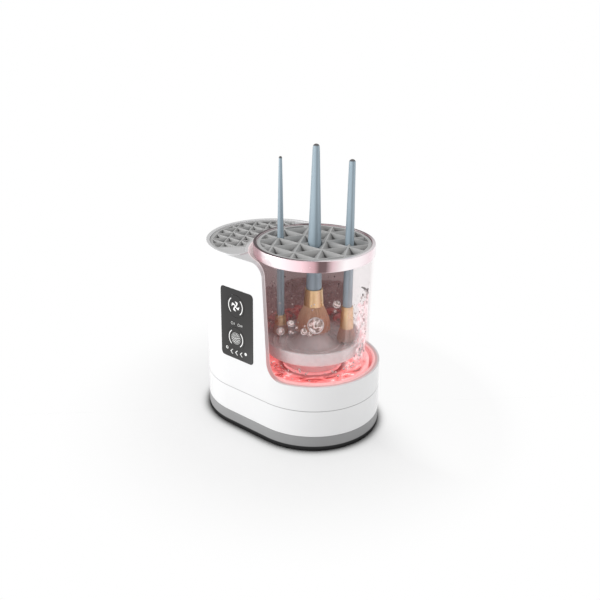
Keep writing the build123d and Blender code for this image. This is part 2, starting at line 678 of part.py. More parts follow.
def cable(points, radius=0.65):
    path = Spline(*[Vector(*point) for point in points])
    return sweep(Plane(origin=path @ 0, z_dir=path % 0) * Circle(radius), path=path)


# (x, y, z) points along each cable from the power board
CABLES = [
    # motor
    [(-30, -12, 16.3), (-26, -14, 21), (-20, -10, 19), (-15.2, -4.5, 14)],
    [(-30, -8, 16.3), (-24, -4, 19), (-19, 2, 17.5), (-15.2, 4.5, 14)],
    # control board
    [(-48, -14, 16.0), (-46.5, -22, 24), (-45, -28.5, 32), (-42, -31.5, 41),
     (-36, -39, 52), (-28, -45.8, 60), (-22, -47.4, 66.6)],
    # fan
    [(-40, 14, 16.0), (-42, 21.5, 24), (-45, 28.5, 32), (-48, 31.0, 41),
     (-49, 28.0, 48), (-50, 19.2, 51.5)],
    # socket board
    [(-27, 14, 16.0), (-22, 22, 19), (-17, 32, 22.5), (-13.0, 39.5, 22.0)],
]
save("power_socket", power_socket())
save("socket_board",
     block(centred(SOCKET_X, 7), (37.0, 52.0), (SOCKET_Z - 3.3, SOCKET_Z - 1.75)))
save("wiring", *[cable(points) for points in CABLES])

# ---- wash cup and its turning parts, (radius, z) profiles about the cup axis ----
CUP_PROFILES = {
    "wash_cup": [
        (12.4, 40.2), (47.6, 40.2), (49.4, 42.0), (49.6, 54.5), (48.9, 57.6), (46.9, 60.2),
        (45.8, 62.2), (47.45, 146.9), (46.6, 146.9), (46.6, 155.6), (45.4, 155.6),
        (45.4, 149.0), (43.9, 149.0), (43.9, 147.2), (45.15, 145.9), (43.6, 62.6),
        (44.6, 60.6), (46.8, 57.4), (47.3, 54.5), (47.1, 44.0), (45.6, 42.7), (15.4, 42.7),
        (15.4, 54.0), (13.6, 56.6), (5.02, 56.6), (5.02, 52.2), (12.4, 52.2)],
    "cup_ring": [
        (46.65, 147.05), (47.5, 147.05), (47.9, 147.45), (47.9, 155.3), (47.2, 156.1),
        (45.5, 156.1), (45.35, 155.95), (45.35, 155.65), (46.65, 155.65)],
    "spindle_bush": [
        (2.54, 51.2), (6.0, 51.2), (6.0, 52.15), (4.98, 52.15), (4.98, 57.0), (2.54, 57.0)],
    "spindle_seal": [
        (2.55, 57.1), (6.4, 57.1), (6.4, 59.2), (5.2, 59.2), (4.6, 58.2), (3.4, 58.2),
        (3.2, 59.2), (2.55, 59.2)],
}
for name, profile in CUP_PROFILES.items():
    save(name, turned(CUP_X, 0, profile))

SPINDLE_BORE_R = 2.52
save("spindle", rod(CUP_X, 0, 2.5, 46.6, 72.0))
save("cup_coupler", coupler(SPINDLE_BORE_R, (48.1, 50.9), (45.7, 48.3), 60, 36))

# Cleaning dish: skirt below, rim, three raised rings and a central cone.
DISH = [
    (0, 62.5), (20.0, 62.5), (20.0, 54.2), (20.8, 53.2), (24.4, 53.2), (25.2, 54.0),
    (25.4, 63.5), (26.6, 65.5), (38.2, 65.5), (39.3, 66.4), (40.4, 76.4), (40.0, 77.1),
    (38.8, 77.1), (38.3, 76.6), (37.4, 70.6), (36.4, 69.6),
    (33.4, 69.6), (32.9, 70.3), (32.2, 70.3), (31.7, 69.6),
    (28.4, 69.6), (27.9, 70.3), (27.2, 70.3), (26.7, 69.6),
    (23.4, 69.6), (22.9, 70.3), (22.2, 70.3), (21.7, 69.6),
    (18.4, 69.6), (17.2, 70.2), (3.6, 84.6), (2.4, 85.6), (0, 86.0)]
dish = turned(CUP_X, 0, DISH) + tube(CUP_X, 0, 5.4, SPINDLE_BORE_R, 60.2, 63.0)
save("cleaning_dish", dish - rod(CUP_X, 0, SPINDLE_BORE_R, 50, 72.1))


# ---- lift-out brush grid ----
def brush_grid():
    radius, bottom, top = 45.1, 149.2, 155.5
    grid = prism(Pos(CUP_X, 0) * Circle(radius), bottom, top)
    # Guards the rounding of the top rim; the edge stays sharp if the fillet fails.
    try:
        grid = fillet([e for e in grid.edges() if e.center().Z > top - 0.1], 0.5)
    except Exception:
        pass
    cells = triangle_cells(27.3, -30.0, pitch=22.0, shrink=0.945,
                           accept=lambda x, y: math.hypot(x - CUP_X, y) < 56)
    grid = lattice(grid, cells, Pos(CUP_X, 0) * Circle(radius - 2.9),
                   bottom=bottom - 0.05, top=top + 0.05,
                   scale=0.40, turn=-22, shift=(-2.2, 0.4))
    # A low collar and a hole for each brush.
    for brush in BRUSHES.values():
        grid += rod(brush["x"], brush["y"], brush["hole_r"] + 1.5, bottom, bottom + 2.2)
    for brush in BRUSHES.values():
        grid -= rod(brush["x"], brush["y"], brush["hole_r"], 140, 160)
    return max(grid.solids(), key=lambda solid: solid.volume)


save("brush_grid", brush_grid())


# ---- brushes, standing bristles down ----
def save_brush(name, x, y, hole_r, handle, ferrule, bristles):
    tip_r, tip_z = handle[0]
    end_r, joint_z = handle[-1]
    tip = [(0, tip_z), (tip_r * 0.7, tip_z - 0.3), (tip_r, tip_z - 1.2)]
    tenon = [(end_r - 0.5, joint_z), (end_r - 0.5, joint_z - 5), (0, joint_z - 5)]
    save(f"brush_{name}_handle", turned(x, y, tip + handle[1:] + tenon))

    # The ferrule has a socket round the tenon and is solid below it.
    socket_r, socket_z = end_r - 0.48, joint_z - 5.02
    socket = [(0, ferrule[-1][1]), (0, socket_z), (socket_r, socket_z)]
    save(f"brush_{name}_ferrule", turned(x, y, [(socket_r, joint_z)] + ferrule + socket))

    root_r, root_z = bristles[0][0], bristles[0][1] - 0.02
    end_r, end_z = bristles[-1]
    if name == "centre":                 # hollowed end
        tail = [(end_r - 0.8, end_z - 0.5), (end_r * 0.55, end_z + 4.0), (0, end_z + 8.0)]
    else:
        tail = [(end_r - 1.0, end_z - 0.6), (0, end_z - 0.6)]
    save(f"brush_{name}_bristles",
         turned(x, y, [(0, root_z), (root_r, root_z)] + bristles[1:] + tail))


for name, brush in BRUSHES.items():
    save_brush(name, **brush)
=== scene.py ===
# A make-up brush washer. It stands on z = 0 in a metre frame, +Z up. The tower is on the -X side,
# with its control panel facing -Y. The clear cup is on the +X side, with the spinning dish, the
# pink liquid and three hanging brushes. Geometry tables are in millimetres; lengths inside
# shaders, lights and the camera are in metres.
import bpy
import bmesh
import json
import math
import random
from mathutils import Vector, Matrix, noise


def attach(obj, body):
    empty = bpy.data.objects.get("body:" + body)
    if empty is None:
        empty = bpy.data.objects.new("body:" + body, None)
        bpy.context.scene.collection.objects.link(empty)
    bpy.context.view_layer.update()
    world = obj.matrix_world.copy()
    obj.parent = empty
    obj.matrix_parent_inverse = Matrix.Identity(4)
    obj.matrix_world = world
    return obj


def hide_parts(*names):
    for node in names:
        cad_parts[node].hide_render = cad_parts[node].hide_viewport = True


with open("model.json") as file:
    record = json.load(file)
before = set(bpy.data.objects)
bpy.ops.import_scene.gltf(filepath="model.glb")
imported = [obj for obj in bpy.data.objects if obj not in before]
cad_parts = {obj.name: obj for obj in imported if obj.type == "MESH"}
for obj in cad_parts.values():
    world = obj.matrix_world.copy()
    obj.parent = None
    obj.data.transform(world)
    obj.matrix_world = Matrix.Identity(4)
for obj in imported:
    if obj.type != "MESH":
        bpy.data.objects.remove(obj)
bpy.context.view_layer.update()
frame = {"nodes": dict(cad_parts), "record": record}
NODES = frame["nodes"]
scene = bpy.context.scene

MM = 0.001
CUP_X = 22.0                        # cup axis, on y = 0
CUP_AXIS = (CUP_X, 0.0)
INNER_FOOT = (43.6, 62.6)           # (radius, z) where the cup's inner wall starts
INNER_TOP = (45.15, 145.9)          # and where it ends
SIDE_AXIS = (0.762, 0.6475, 0.0087)  # direction across the brushes, the camera's right

# ------------------------------------------------------------------ shader building
PRINCIPLED_INPUTS = {
    "metallic": "Metallic", "specular": "Specular IOR Level", "normal": "Normal",
    "coat": "Coat Weight", "coat_rough": "Coat Roughness", "sheen": "Sheen Weight",
    "subsurface": "Subsurface Weight", "subsurface_radius": "Subsurface Radius",
    "subsurface_scale": "Subsurface Scale",
    "emission": "Emission Color", "emission_strength": "Emission Strength",
}


def rgba(colour):
    """RGBA from an RGB tuple or a grey level."""
    if isinstance(colour, (int, float)):
        colour = (colour,) * 3
    return (*colour, 1)


def scaled(colour, factor):
    return tuple(channel * factor for channel in colour)


class Shader:
    """Node tree of a material or world. Inputs take either a socket or a value."""

    def __init__(self, owner, output):
        owner.use_nodes = True
        self.owner = owner
        self.tree = owner.node_tree
        self.tree.nodes.clear()
        self.output = self.node(output)

    def node(self, kind, inputs=None, **settings):
        made = self.tree.nodes.new("ShaderNode" + kind)
        for key, value in settings.items():
            setattr(made, key, value)
        for key, value in (inputs or {}).items():
            socket = made.inputs[key]
            if isinstance(value, bpy.types.NodeSocket):
                self.tree.links.new(value, socket)
            else:
                socket.default_value = rgba(value) if socket.type == "RGBA" else value
        return made

    def finish(self, surface):
        self.tree.links.new(surface, self.output.inputs["Surface"])
        return self.owner

    def split(self, vector):
        return self.node("SeparateXYZ", {0: vector}).outputs

    def xyz(self):
        return self.split(self.node("TexCoord").outputs["Object"])

    def coords(self, scale=(1, 1, 1)):
        place = self.node("TexCoord").outputs["Object"]
        return self.node("Mapping", {"Vector": place, "Scale": scale}).outputs["Vector"]

    def noise(self, scale, detail=3.0, rough=0.5, vector=None, distortion=0.0):
        return self.node("TexNoise", {
            "Scale": scale, "Detail": detail, "Roughness": rough, "Distortion": distortion,
            "Vector": self.coords() if vector is None else vector}).outputs["Fac"]

    def ramp(self, fac, stops):
        """Colour ramp from (position, colour or grey) stops."""
        made = self.node("ValToRGB", {"Fac": fac})
        elements = made.color_ramp.elements
        while len(elements) < len(stops):
            elements.new(0.5)
        for element, (position, colour) in zip(elements, stops):
            element.position = position
            element.color = rgba(colour)
        return made.outputs["Color"]

    def remap(self, value, span, to=(0.0, 1.0), curve="LINEAR"):
        return self.node("MapRange", {
            "From Min": span[0], "From Max": span[1], "To Min": to[0], "To Max": to[1],
            "Value": value}, interpolation_type=curve).outputs["Result"]

    def smooth(self, value, zero_at, one_at):
        return self.remap(value, (zero_at, one_at), curve="SMOOTHSTEP")

    def gloss(self, scale, low, high, detail=3.0):
        """Roughness that wanders between low and high."""
        return self.remap(self.noise(scale, detail), (0.3, 0.7), (low, high))

    def bump(self, height, strength, distance=0.0002):
        return self.node("Bump", {
            "Strength": strength, "Distance": distance, "Height": height}).outputs["Normal"]

    def mix(self, fac, first, second, mode="MIX"):
        return self.node("Mix", {0: fac, 6: first, 7: second},
                         data_type="RGBA", blend_type=mode).outputs[2]

    def math(self, operation, *values, clamp=False):
        return self.node("Math", dict(enumerate(values)),
                         operation=operation, use_clamp=clamp).outputs[0]

    def times(self, first, second):
        return self.math("MULTIPLY", first, second)

    def dot(self, first, second):
        return self.node("VectorMath", {0: first, 1: second},
                         operation="DOT_PRODUCT").outputs["Value"]

    def cup_radius(self, x, y):
        """Distance from the cup axis."""
        across = self.math("SUBTRACT", x, CUP_X * MM)
        squares = self.math("ADD", self.times(across, across), self.times(y, y))
        return self.math("SQRT", squares)

    def painted_side_reflections(self, colour, stops):
        """Multiply a colour by soft upright bands of painted reflection across a turned surface.
        """
        normal = self.node("NewGeometry").outputs["Normal"]
        across = self.remap(self.dot(normal, SIDE_AXIS), (-1.0, 1.0))
        return self.mix(1.0, colour, self.ramp(across, stops), "MULTIPLY")

    def principled(self, colour, rough, glow=None, **others):
        """Principled surface; glow is an emission strength in the base colour."""
        inputs = {"Base Color": colour, "Roughness": rough}
        if glow is not None:
            others.update(emission=colour, emission_strength=glow)
        for key, value in others.items():
            inputs[PRINCIPLED_INPUTS[key]] = value
        return self.node("BsdfPrincipled", inputs).outputs[0]

    def see_through(self, opacity, surface, tint=None):
        """Mix of transparent and a surface."""
        clear = self.node("BsdfTransparent", {} if tint is None else {"Color": tint})
        return self.node("MixShader", {0: opacity, 1: clear.outputs[0], 2: surface}).outputs[0]


def new_material(name):
    return Shader(bpy.data.materials.new(name), "OutputMaterial")


# ------------------------------------------------------------------ materials
def plastic(name, colour, rough, variation, grain, grain_depth, coat=0.0, metal=0.0,
            specular=0.5, rough_variation=0.06, foot=None):
    """Moulded or metal surface: mottled colour, varied gloss and fine grain.

    foot is a painted shadow at the bottom: (z below which its colour is full, z above which it is
    gone, colour).
    """
    s = new_material(name)
    base = s.ramp(s.noise(60.0, detail=4.0, rough=0.55),
                  [(0.3, scaled(colour, 1 - variation)), (0.7, scaled(colour, 1 + variation))])
    if foot:
        z_full, z_gone, foot_shade_colour = foot
        base = s.mix(s.remap(s.xyz()[2], (z_full, z_gone), (1.0, 0.0)), base, foot_shade_colour)
    return s.finish(s.principled(
        base, s.gloss(140.0, rough - rough_variation, rough + rough_variation),
        metallic=metal, specular=specular, coat=coat, coat_rough=0.08,
        normal=s.bump(s.noise(grain, detail=2.0, rough=0.6), grain_depth)))


def silicone(name, z_low, z_top):
    """Grey silicone with painted shade that darkens it towards the bottom of its cells."""
    colour = (0.50, 0.50, 0.495)
    s = new_material(name)
    z = s.xyz()[2]
    base = s.ramp(s.noise(70.0, detail=4.0, rough=0.6),
                  [(0.3, scaled(colour, 0.93)), (0.7, scaled(colour, 1.05))])
    shade = s.ramp(s.remap(z, (z_low, z_top)),
                   [(0.0, 0.16), (0.35, 0.55), (0.75, 0.86), (0.97, 0.92), (1.0, 1.0)])
    return s.finish(s.principled(
        s.mix(1.0, base, shade, "MULTIPLY"), s.gloss(140.0, 0.30, 0.44), specular=0.55,
        normal=s.bump(s.noise(1300.0, detail=2.0, rough=0.6), strength=0.12)))


def cup_well():
    """White plastic painted pink, with a painted glow, standing in for light from the liquid
    above it.
    """
    s = new_material("well_pink_lit")
    base = s.ramp(s.noise(45.0, detail=4.0, rough=0.6),
                  [(0.25, (0.86, 0.30, 0.30)), (0.75, (0.93, 0.55, 0.54))])
    base = s.mix(s.remap(s.xyz()[2], (0.047, 0.053)), base, (0.97, 0.64, 0.64))
    return s.finish(s.principled(base, rough=0.25, glow=0.12,
                                 normal=s.bump(s.noise(1200.0), strength=0.04)))


def clear_plastic():
    """Thin clear wall with weak fresnel reflections and a faint pink tint."""
    tint = (0.992, 0.978, 0.980)
    reflection = 0.15
    s = new_material("clear_cup_plastic")
    glossy = s.node("BsdfGlossy", {
        "Color": 1.0, "Roughness": s.gloss(90.0, 0.018, 0.048),
        "Normal": s.bump(s.noise(26.0, detail=2.0), strength=0.02, distance=0.001)})
    fresnel = s.node("Fresnel", {"IOR": 1.45}).outputs[0]
    return s.finish(s.see_through(
        s.times(fresnel, reflection), glossy.outputs[0],
        tint=s.ramp(s.noise(30.0, detail=2.0), [(0.3, tint), (0.7, scaled(tint, 1.008))])))


# Painted reflection of the plated ring, with a dark band: colours by heading of the reflected
# ray; 0 and 1 are -X,
# 0.25 is -Y, 0.5 is +X and 0.75 is +Y.
RING_SWEEP = [
    (0.0, (0.52, 0.33, 0.36)), (0.03, (0.66, 0.44, 0.48)), (0.06, (0.95, 0.84, 0.87)),
    (0.10, (0.99, 0.93, 0.95)), (0.21, (0.97, 0.82, 0.85)), (0.30, (0.95, 0.66, 0.71)),
    (0.365, (0.60, 0.36, 0.39)), (0.392, (0.15, 0.09, 0.095)), (0.425, (0.16, 0.10, 0.105)),
    (0.462, (0.72, 0.52, 0.55)), (0.53, (0.98, 0.93, 0.94)), (0.62, (0.96, 0.88, 0.90)),
    (0.72, (0.86, 0.70, 0.74)), (0.80, (0.93, 0.84, 0.87)), (0.87, (0.36, 0.22, 0.24)),
    (1.0, (0.50, 0.32, 0.35))]
# Painted reflection on the ring's level top, from -X to +X: dark towards -X, a painted highlight
# towards +X.
RING_TOP = [(0.0, (0.05, 0.025, 0.03)), (0.5, (0.08, 0.045, 0.05)), (0.72, (0.20, 0.14, 0.15)),
            (0.86, (0.80, 0.72, 0.74)), (1.0, (0.95, 0.90, 0.92))]


def ring_plating():
    """Rose-gold plating; its colour holds a painted reflection of a soft studio sweep, and it has
    a painted glow.
    """
    s = new_material("rose_gold_plating")
    geometry = s.node("NewGeometry").outputs
    away = s.node("VectorMath", {0: geometry["Incoming"], "Scale": -1.0}, operation="SCALE")
    mirrored = s.node("VectorMath", {0: away.outputs[0], 1: geometry["Normal"]},
                      operation="REFLECT")
    ray_x, ray_y, _ = s.split(mirrored.outputs[0])
    heading = s.remap(s.math("ARCTAN2", ray_y, ray_x), (-math.pi, math.pi))
    wander = s.noise(260.0, detail=2.0, vector=s.coords((1, 1, 14)))
    sweep = s.ramp(s.math("MULTIPLY_ADD", wander, 0.012, heading), RING_SWEEP)
    up = s.smooth(s.split(geometry["True Normal"])[2], 0.86, 0.985)
    top = s.ramp(s.remap(s.xyz()[0], (-0.026, 0.070)), RING_TOP)
    brushed = s.noise(500.0, detail=2.0, vector=s.coords((1, 1, 30)))
    return s.finish(s.principled(
        s.mix(up, sweep, top), s.gloss(200.0, 0.18, 0.28), metallic=0.55, glow=0.10,
        normal=s.bump(brushed, strength=0.03)))


def panel_glass():
    """Smoked glass with a painted reflection that makes it paler towards the bottom and towards
    +X.
    """
    s = new_material("panel_smoked_glass")
    x, _, z = s.xyz()
    low = s.remap(z, (0.122, 0.063), (0.0, 0.62))
    right = s.remap(x, (-0.028, 0.007), (-0.16, 0.38))
    pale = s.math("ADD", low, right, clamp=True)
    pale = s.math("MULTIPLY_ADD", s.noise(40.0), 0.05, pale)
    base = s.ramp(pale, [(0.0, 0.026), (0.5, (0.030, 0.029, 0.028)),
                         (0.8, (0.040, 0.039, 0.038)), (1.0, 0.062)])
    return s.finish(s.principled(base, s.gloss(180.0, 0.12, 0.22), specular=0.35,
                                 normal=s.bump(s.noise(1500.0), 0.01, distance=0.0001)))


def dish_plastic():
    s = new_material("dish_translucent_white")
    base = s.ramp(s.noise(50.0), [(0.3, (0.84, 0.76, 0.76)), (0.7, (0.90, 0.83, 0.83))])
    return s.finish(s.principled(
        base, s.gloss(120.0, 0.22, 0.34), subsurface=0.25,
        subsurface_radius=(0.008, 0.004, 0.004), subsurface_scale=0.5,
        normal=s.bump(s.noise(900.0), strength=0.05)))


def handle_lacquer(tip_mm=232.0):
    """Blue lacquer with upright grain, painted reflection bands and a dark tip at the handle's
    top.
    """
    tip = tip_mm / 1000
    s = new_material("handle_blue_lacquer_%d" % round(tip_mm))
    grain = s.coords((1, 1, 0.12))
    base = s.ramp(s.noise(160.0, detail=4.0, rough=0.6, vector=grain),
                  [(0.25, (0.335, 0.422, 0.486)), (0.75, (0.385, 0.478, 0.540))])
    z = s.xyz()[2]
    base = s.mix(s.remap(z, (0.155, 0.232), (0.0, 0.35)), base, (0.30, 0.38, 0.43))
    # painted reflection bands across the handle
    base = s.painted_side_reflections(base, [
        (0.0, 0.92), (0.14, 1.10), (0.36, 1.16), (0.48, 1.08), (0.57, 0.78), (0.66, 0.86),
        (0.80, 1.12), (0.92, 0.95), (1.0, 0.72)])
    base = s.mix(s.smooth(z, tip - 0.0019, tip - 0.0007), base, (0.10, 0.09, 0.09))
    return s.finish(s.principled(base, s.gloss(120.0, 0.30, 0.42), specular=0.35,
                                 normal=s.bump(s.noise(700.0, vector=grain), strength=0.04)))


def ferrule_gold():
    s = new_material("ferrule_pale_gold")
    brushed = s.noise(300.0, vector=s.coords((1, 1, 10)))
    base = s.ramp(brushed, [(0.3, (0.90, 0.60, 0.31)), (0.7, (0.96, 0.71, 0.42))])
    # painted reflection bands across the ferrule
    base = s.painted_side_reflections(base, [
        (0.0, (0.80, 0.72, 0.62)), (0.2, 0.98), (0.42, 1.0), (0.55, (1.0, 1.0, 1.02)),
        (0.75, (1.0, 1.05, 1.2)), (0.9, 0.95), (1.0, 0.75)])
    return s.finish(s.principled(base, s.gloss(150.0, 0.26, 0.38), metallic=0.75,
                                 normal=s.bump(brushed, strength=0.05)))


def bristle_hair():
    """Fine upright strands, redder towards the lower ends."""
    s = new_material("bristle_filaments")
    strands = s.noise(1500.0, rough=0.7, vector=s.coords((1, 1, 0.04)))
    base = s.ramp(s.remap(s.xyz()[2], (0.074, 0.100)),
                  [(0.0, (0.60, 0.36, 0.31)), (0.55, (0.70, 0.34, 0.24)),
                   (1.0, (0.84, 0.54, 0.36))])
    base = s.mix(s.remap(strands, (0.3, 0.7), (0.0, 0.45)), base, (0.92, 0.66, 0.50))
    return s.finish(s.principled(base, rough=0.6, sheen=0.3,
                                 normal=s.bump(strands, strength=0.5, distance=0.0006)))


def shell_white():
    """Gloss white shell with painted shade on top and in the part line, and painted pink light
    and painted shade where it looks at the cup.
    """
    top_shade = 0.30
    # strength of the painted glow on the faces that look at the cup
    inner_glow = 0.42
    s = new_material("shell_gloss_white")
    x, y, z = s.xyz()
    normal_x, _, normal_z = s.split(s.node("NewGeometry").outputs["True Normal"])
    radius = s.cup_radius(x, y)
    base = s.ramp(s.noise(60.0, detail=4.0, rough=0.55),
                  [(0.3, (0.853, 0.853, 0.858)), (0.7, (0.867, 0.867, 0.872))])
    # painted shade: top faces a little darker
    top = s.times(s.smooth(normal_z, 0.75, 0.95), s.smooth(z, 0.1460, 0.1470))
    base = s.mix(s.times(top, top_shade), base, 0.20)
    # pink light on the inner part of the cup lip
    lip = s.times(s.smooth(radius, 0.0546, 0.0530), s.smooth(z, 0.0590, 0.0575))
    lip = s.times(lip, s.smooth(z, 0.0500, 0.0520))
    base = s.mix(lip, base, (0.93, 0.56, 0.56))
    # painted shadow in the part line's gap
    from_line = s.math("ABSOLUTE", s.math("SUBTRACT", z, 0.0353))
    base = s.mix(s.times(s.smooth(from_line, 0.00045, 0.0002), 0.6), base, 0.30)
    # faces that look at the cup, by height: painted pink light from the liquid low down, painted
    # shade above, and a painted glow
    inner = s.smooth(radius, 0.0521, 0.0515)
    height = s.remap(z, (0.040, 0.150))
    tint = s.ramp(height, [
        (0.0, (0.95, 0.34, 0.34)), (0.07, (0.96, 0.50, 0.50)), (0.13, (0.97, 0.64, 0.64)),
        (0.20, (0.44, 0.22, 0.21)), (0.5, (0.40, 0.29, 0.29)), (0.85, (0.58, 0.47, 0.47)),
        (1.0, (0.66, 0.57, 0.57))])
    base = s.mix(inner, base, tint)
    # cut faces beside the cup: painted pink light low down, painted shade higher up, darker
    # painted shade on the +Y side
    cut = s.times(s.smooth(normal_x, 0.25, 0.6), s.smooth(z, 0.0562, 0.0575))
    cut = s.times(cut, s.smooth(radius, 0.0600, 0.0575))
    back = s.smooth(y, 0.0, 0.02)
    cut_light_and_shade = s.ramp(height, [
        (0.0, (0.90, 0.42, 0.42)), (0.24, (0.86, 0.50, 0.50)), (0.42, (0.60, 0.50, 0.51)),
        (1.0, (0.62, 0.58, 0.59))])
    base = s.mix(cut, base, s.mix(back, cut_light_and_shade, (0.19, 0.135, 0.13)))
    return s.finish(s.principled(
        base, s.gloss(140.0, 0.19, 0.25), specular=0.45, coat=0.35, coat_rough=0.08,
        emission=s.mix(inner, 0.0, tint), emission_strength=inner_glow,
        normal=s.bump(s.noise(1400.0, detail=2.0, rough=0.6), strength=0.02)))


def panel_ink(name, colour, glow):
    s = new_material(name)
    base = s.ramp(s.noise(900.0, detail=2.0), [(0.3, scaled(colour, 0.92)), (0.7, colour)])
    return s.finish(s.principled(base, rough=0.5, glow=glow))


def pool_liquid():
    """Rippled pink liquid with painted highlights and a painted glow: dark ring of painted shadow
    around the dish's underside, pale edge at the wall.
    """
    s = new_material("pink_wash_liquid")
    # the near-white stop gives painted highlights among the liquid's reds
    base = s.ramp(s.noise(88.0, rough=0.55, distortion=0.9), [
        (0.32, (0.34, 0.04, 0.036)), (0.39, (0.56, 0.09, 0.085)), (0.45, (0.86, 0.22, 0.22)),
        (0.57, (0.93, 0.31, 0.31)), (0.63, (1.0, 0.84, 0.82)), (0.69, (0.94, 0.38, 0.38))])
    x, y, _ = s.xyz()
    radius = s.cup_radius(x, y)
    wobble = s.times(s.math("SUBTRACT", s.noise(150.0, detail=2.0), 0.5), 0.0016)
    uneven = s.math("ADD", radius, wobble)
    under = s.smooth(uneven, 0.0246, 0.0238)
    # painted shadow of the dish on the liquid
    ring = s.times(s.smooth(uneven, 0.0236, 0.0246), s.smooth(uneven, 0.0305, 0.0256))
    edge = s.smooth(radius, 0.0425, 0.0462)
    for mask, opacity, colour in ((under, 0.75, (0.90, 0.42, 0.43)),
                                  (ring, 0.96, (0.18, 0.012, 0.012)),
                                  (edge, 0.9, (0.98, 0.56, 0.56))):
        base = s.mix(s.times(mask, opacity), base, colour)
    ripples = s.noise(160.0, rough=0.55, distortion=1.0)
    # painted glow in the liquid's colour
    return s.finish(s.principled(base, rough=0.08, specular=0.6, glow=0.58,
                                 normal=s.bump(ripples, strength=0.45, distance=0.0012)))


def film_liquid():
    """Thin liquid sheet with a painted glow; opacity and colour come from its cover and tint
    attributes.
    """
    s = new_material("liquid_film")
    tint = s.node("Attribute", attribute_name="tint").outputs["Color"]
    cover = s.node("Attribute", attribute_name="cover").outputs["Fac"]
    patches = s.noise(120.0, detail=4.0, rough=0.6, distortion=0.8)
    base = s.mix(s.remap(patches, (0.4, 0.75), (0.0, 0.20)), tint, (0.80, 0.58, 0.58))
    ripples = s.noise(180.0, distortion=0.6)
    surface = s.principled(base, rough=0.12, glow=0.42,
                           normal=s.bump(ripples, strength=0.35, distance=0.0008))
    opacity = s.math("MULTIPLY", cover, s.remap(patches, (0.3, 0.7), (0.8, 1.15)), clamp=True)
    return s.finish(s.see_through(opacity, surface))


# Painted highlights and painted dark reflections of the bubble skin, from middle to rim:
# position, colour, opacity.
BUBBLE_PAINTED_LIGHT_BANDS = [
    (0.0, (0.40, 0.30, 0.26), 0.35), (0.16, (0.30, 0.24, 0.20), 0.45),
    (0.28, (0.98, 0.90, 0.88), 0.9), (0.36, (0.90, 0.62, 0.60), 0.6),
    (0.46, (0.36, 0.27, 0.24), 0.45), (0.58, (0.16, 0.10, 0.09), 0.8),
    (0.66, (0.98, 0.94, 0.93), 0.9), (0.73, (0.55, 0.42, 0.40), 0.5),
    (0.84, (0.06, 0.035, 0.035), 0.92), (0.93, (0.92, 0.86, 0.85), 0.9),
    (1.0, (0.13, 0.08, 0.08), 0.85)]


def bubble_skin():
    """Bubble and droplet skin with painted light and a painted glow: see-through middle, pale
    inner ring, dark broken rim.
    """
    light_side = (0.35, 0.52, 0.78)
    s = new_material("bubble_clear")
    geometry = s.node("NewGeometry").outputs
    facing = s.dot(geometry["Normal"], geometry["Incoming"])
    rim = s.math("SQRT", s.math("SUBTRACT", 1.0, s.times(facing, facing), clamp=True))
    lit = s.dot(geometry["Normal"], light_side)
    wander = s.noise(190.0, detail=2.0, distortion=0.6)

    def shifted(amount):
        """The wander noise, centred on zero and scaled."""
        return s.times(s.math("SUBTRACT", wander, 0.5), amount)

    middle = s.math("ADD", s.times(rim, 0.30), s.times(lit, -0.26))
    middle = s.math("ADD", s.math("ADD", middle, 0.22), shifted(0.85), clamp=True)
    edge = s.smooth(rim, 0.80, 0.90)
    middle = s.times(middle, s.math("SUBTRACT", 1.0, edge))
    outer = s.times(s.math("ADD", rim, shifted(0.22)), edge)
    band = s.math("ADD", middle, outer, clamp=True)
    colour = s.ramp(band, [(place, colour) for place, colour, _ in BUBBLE_PAINTED_LIGHT_BANDS])
    opacity = s.ramp(band, [(place, opacity) for place, _, opacity in BUBBLE_PAINTED_LIGHT_BANDS])
    surface = s.principled(colour, rough=0.05, specular=0.8, glow=0.16)
    return s.finish(s.see_through(opacity, surface))


CLEAR, RING, DISH = clear_plastic(), ring_plating(), dish_plastic()
FERRULE, BRISTLE, SHELL = ferrule_gold(), bristle_hair(), shell_white()

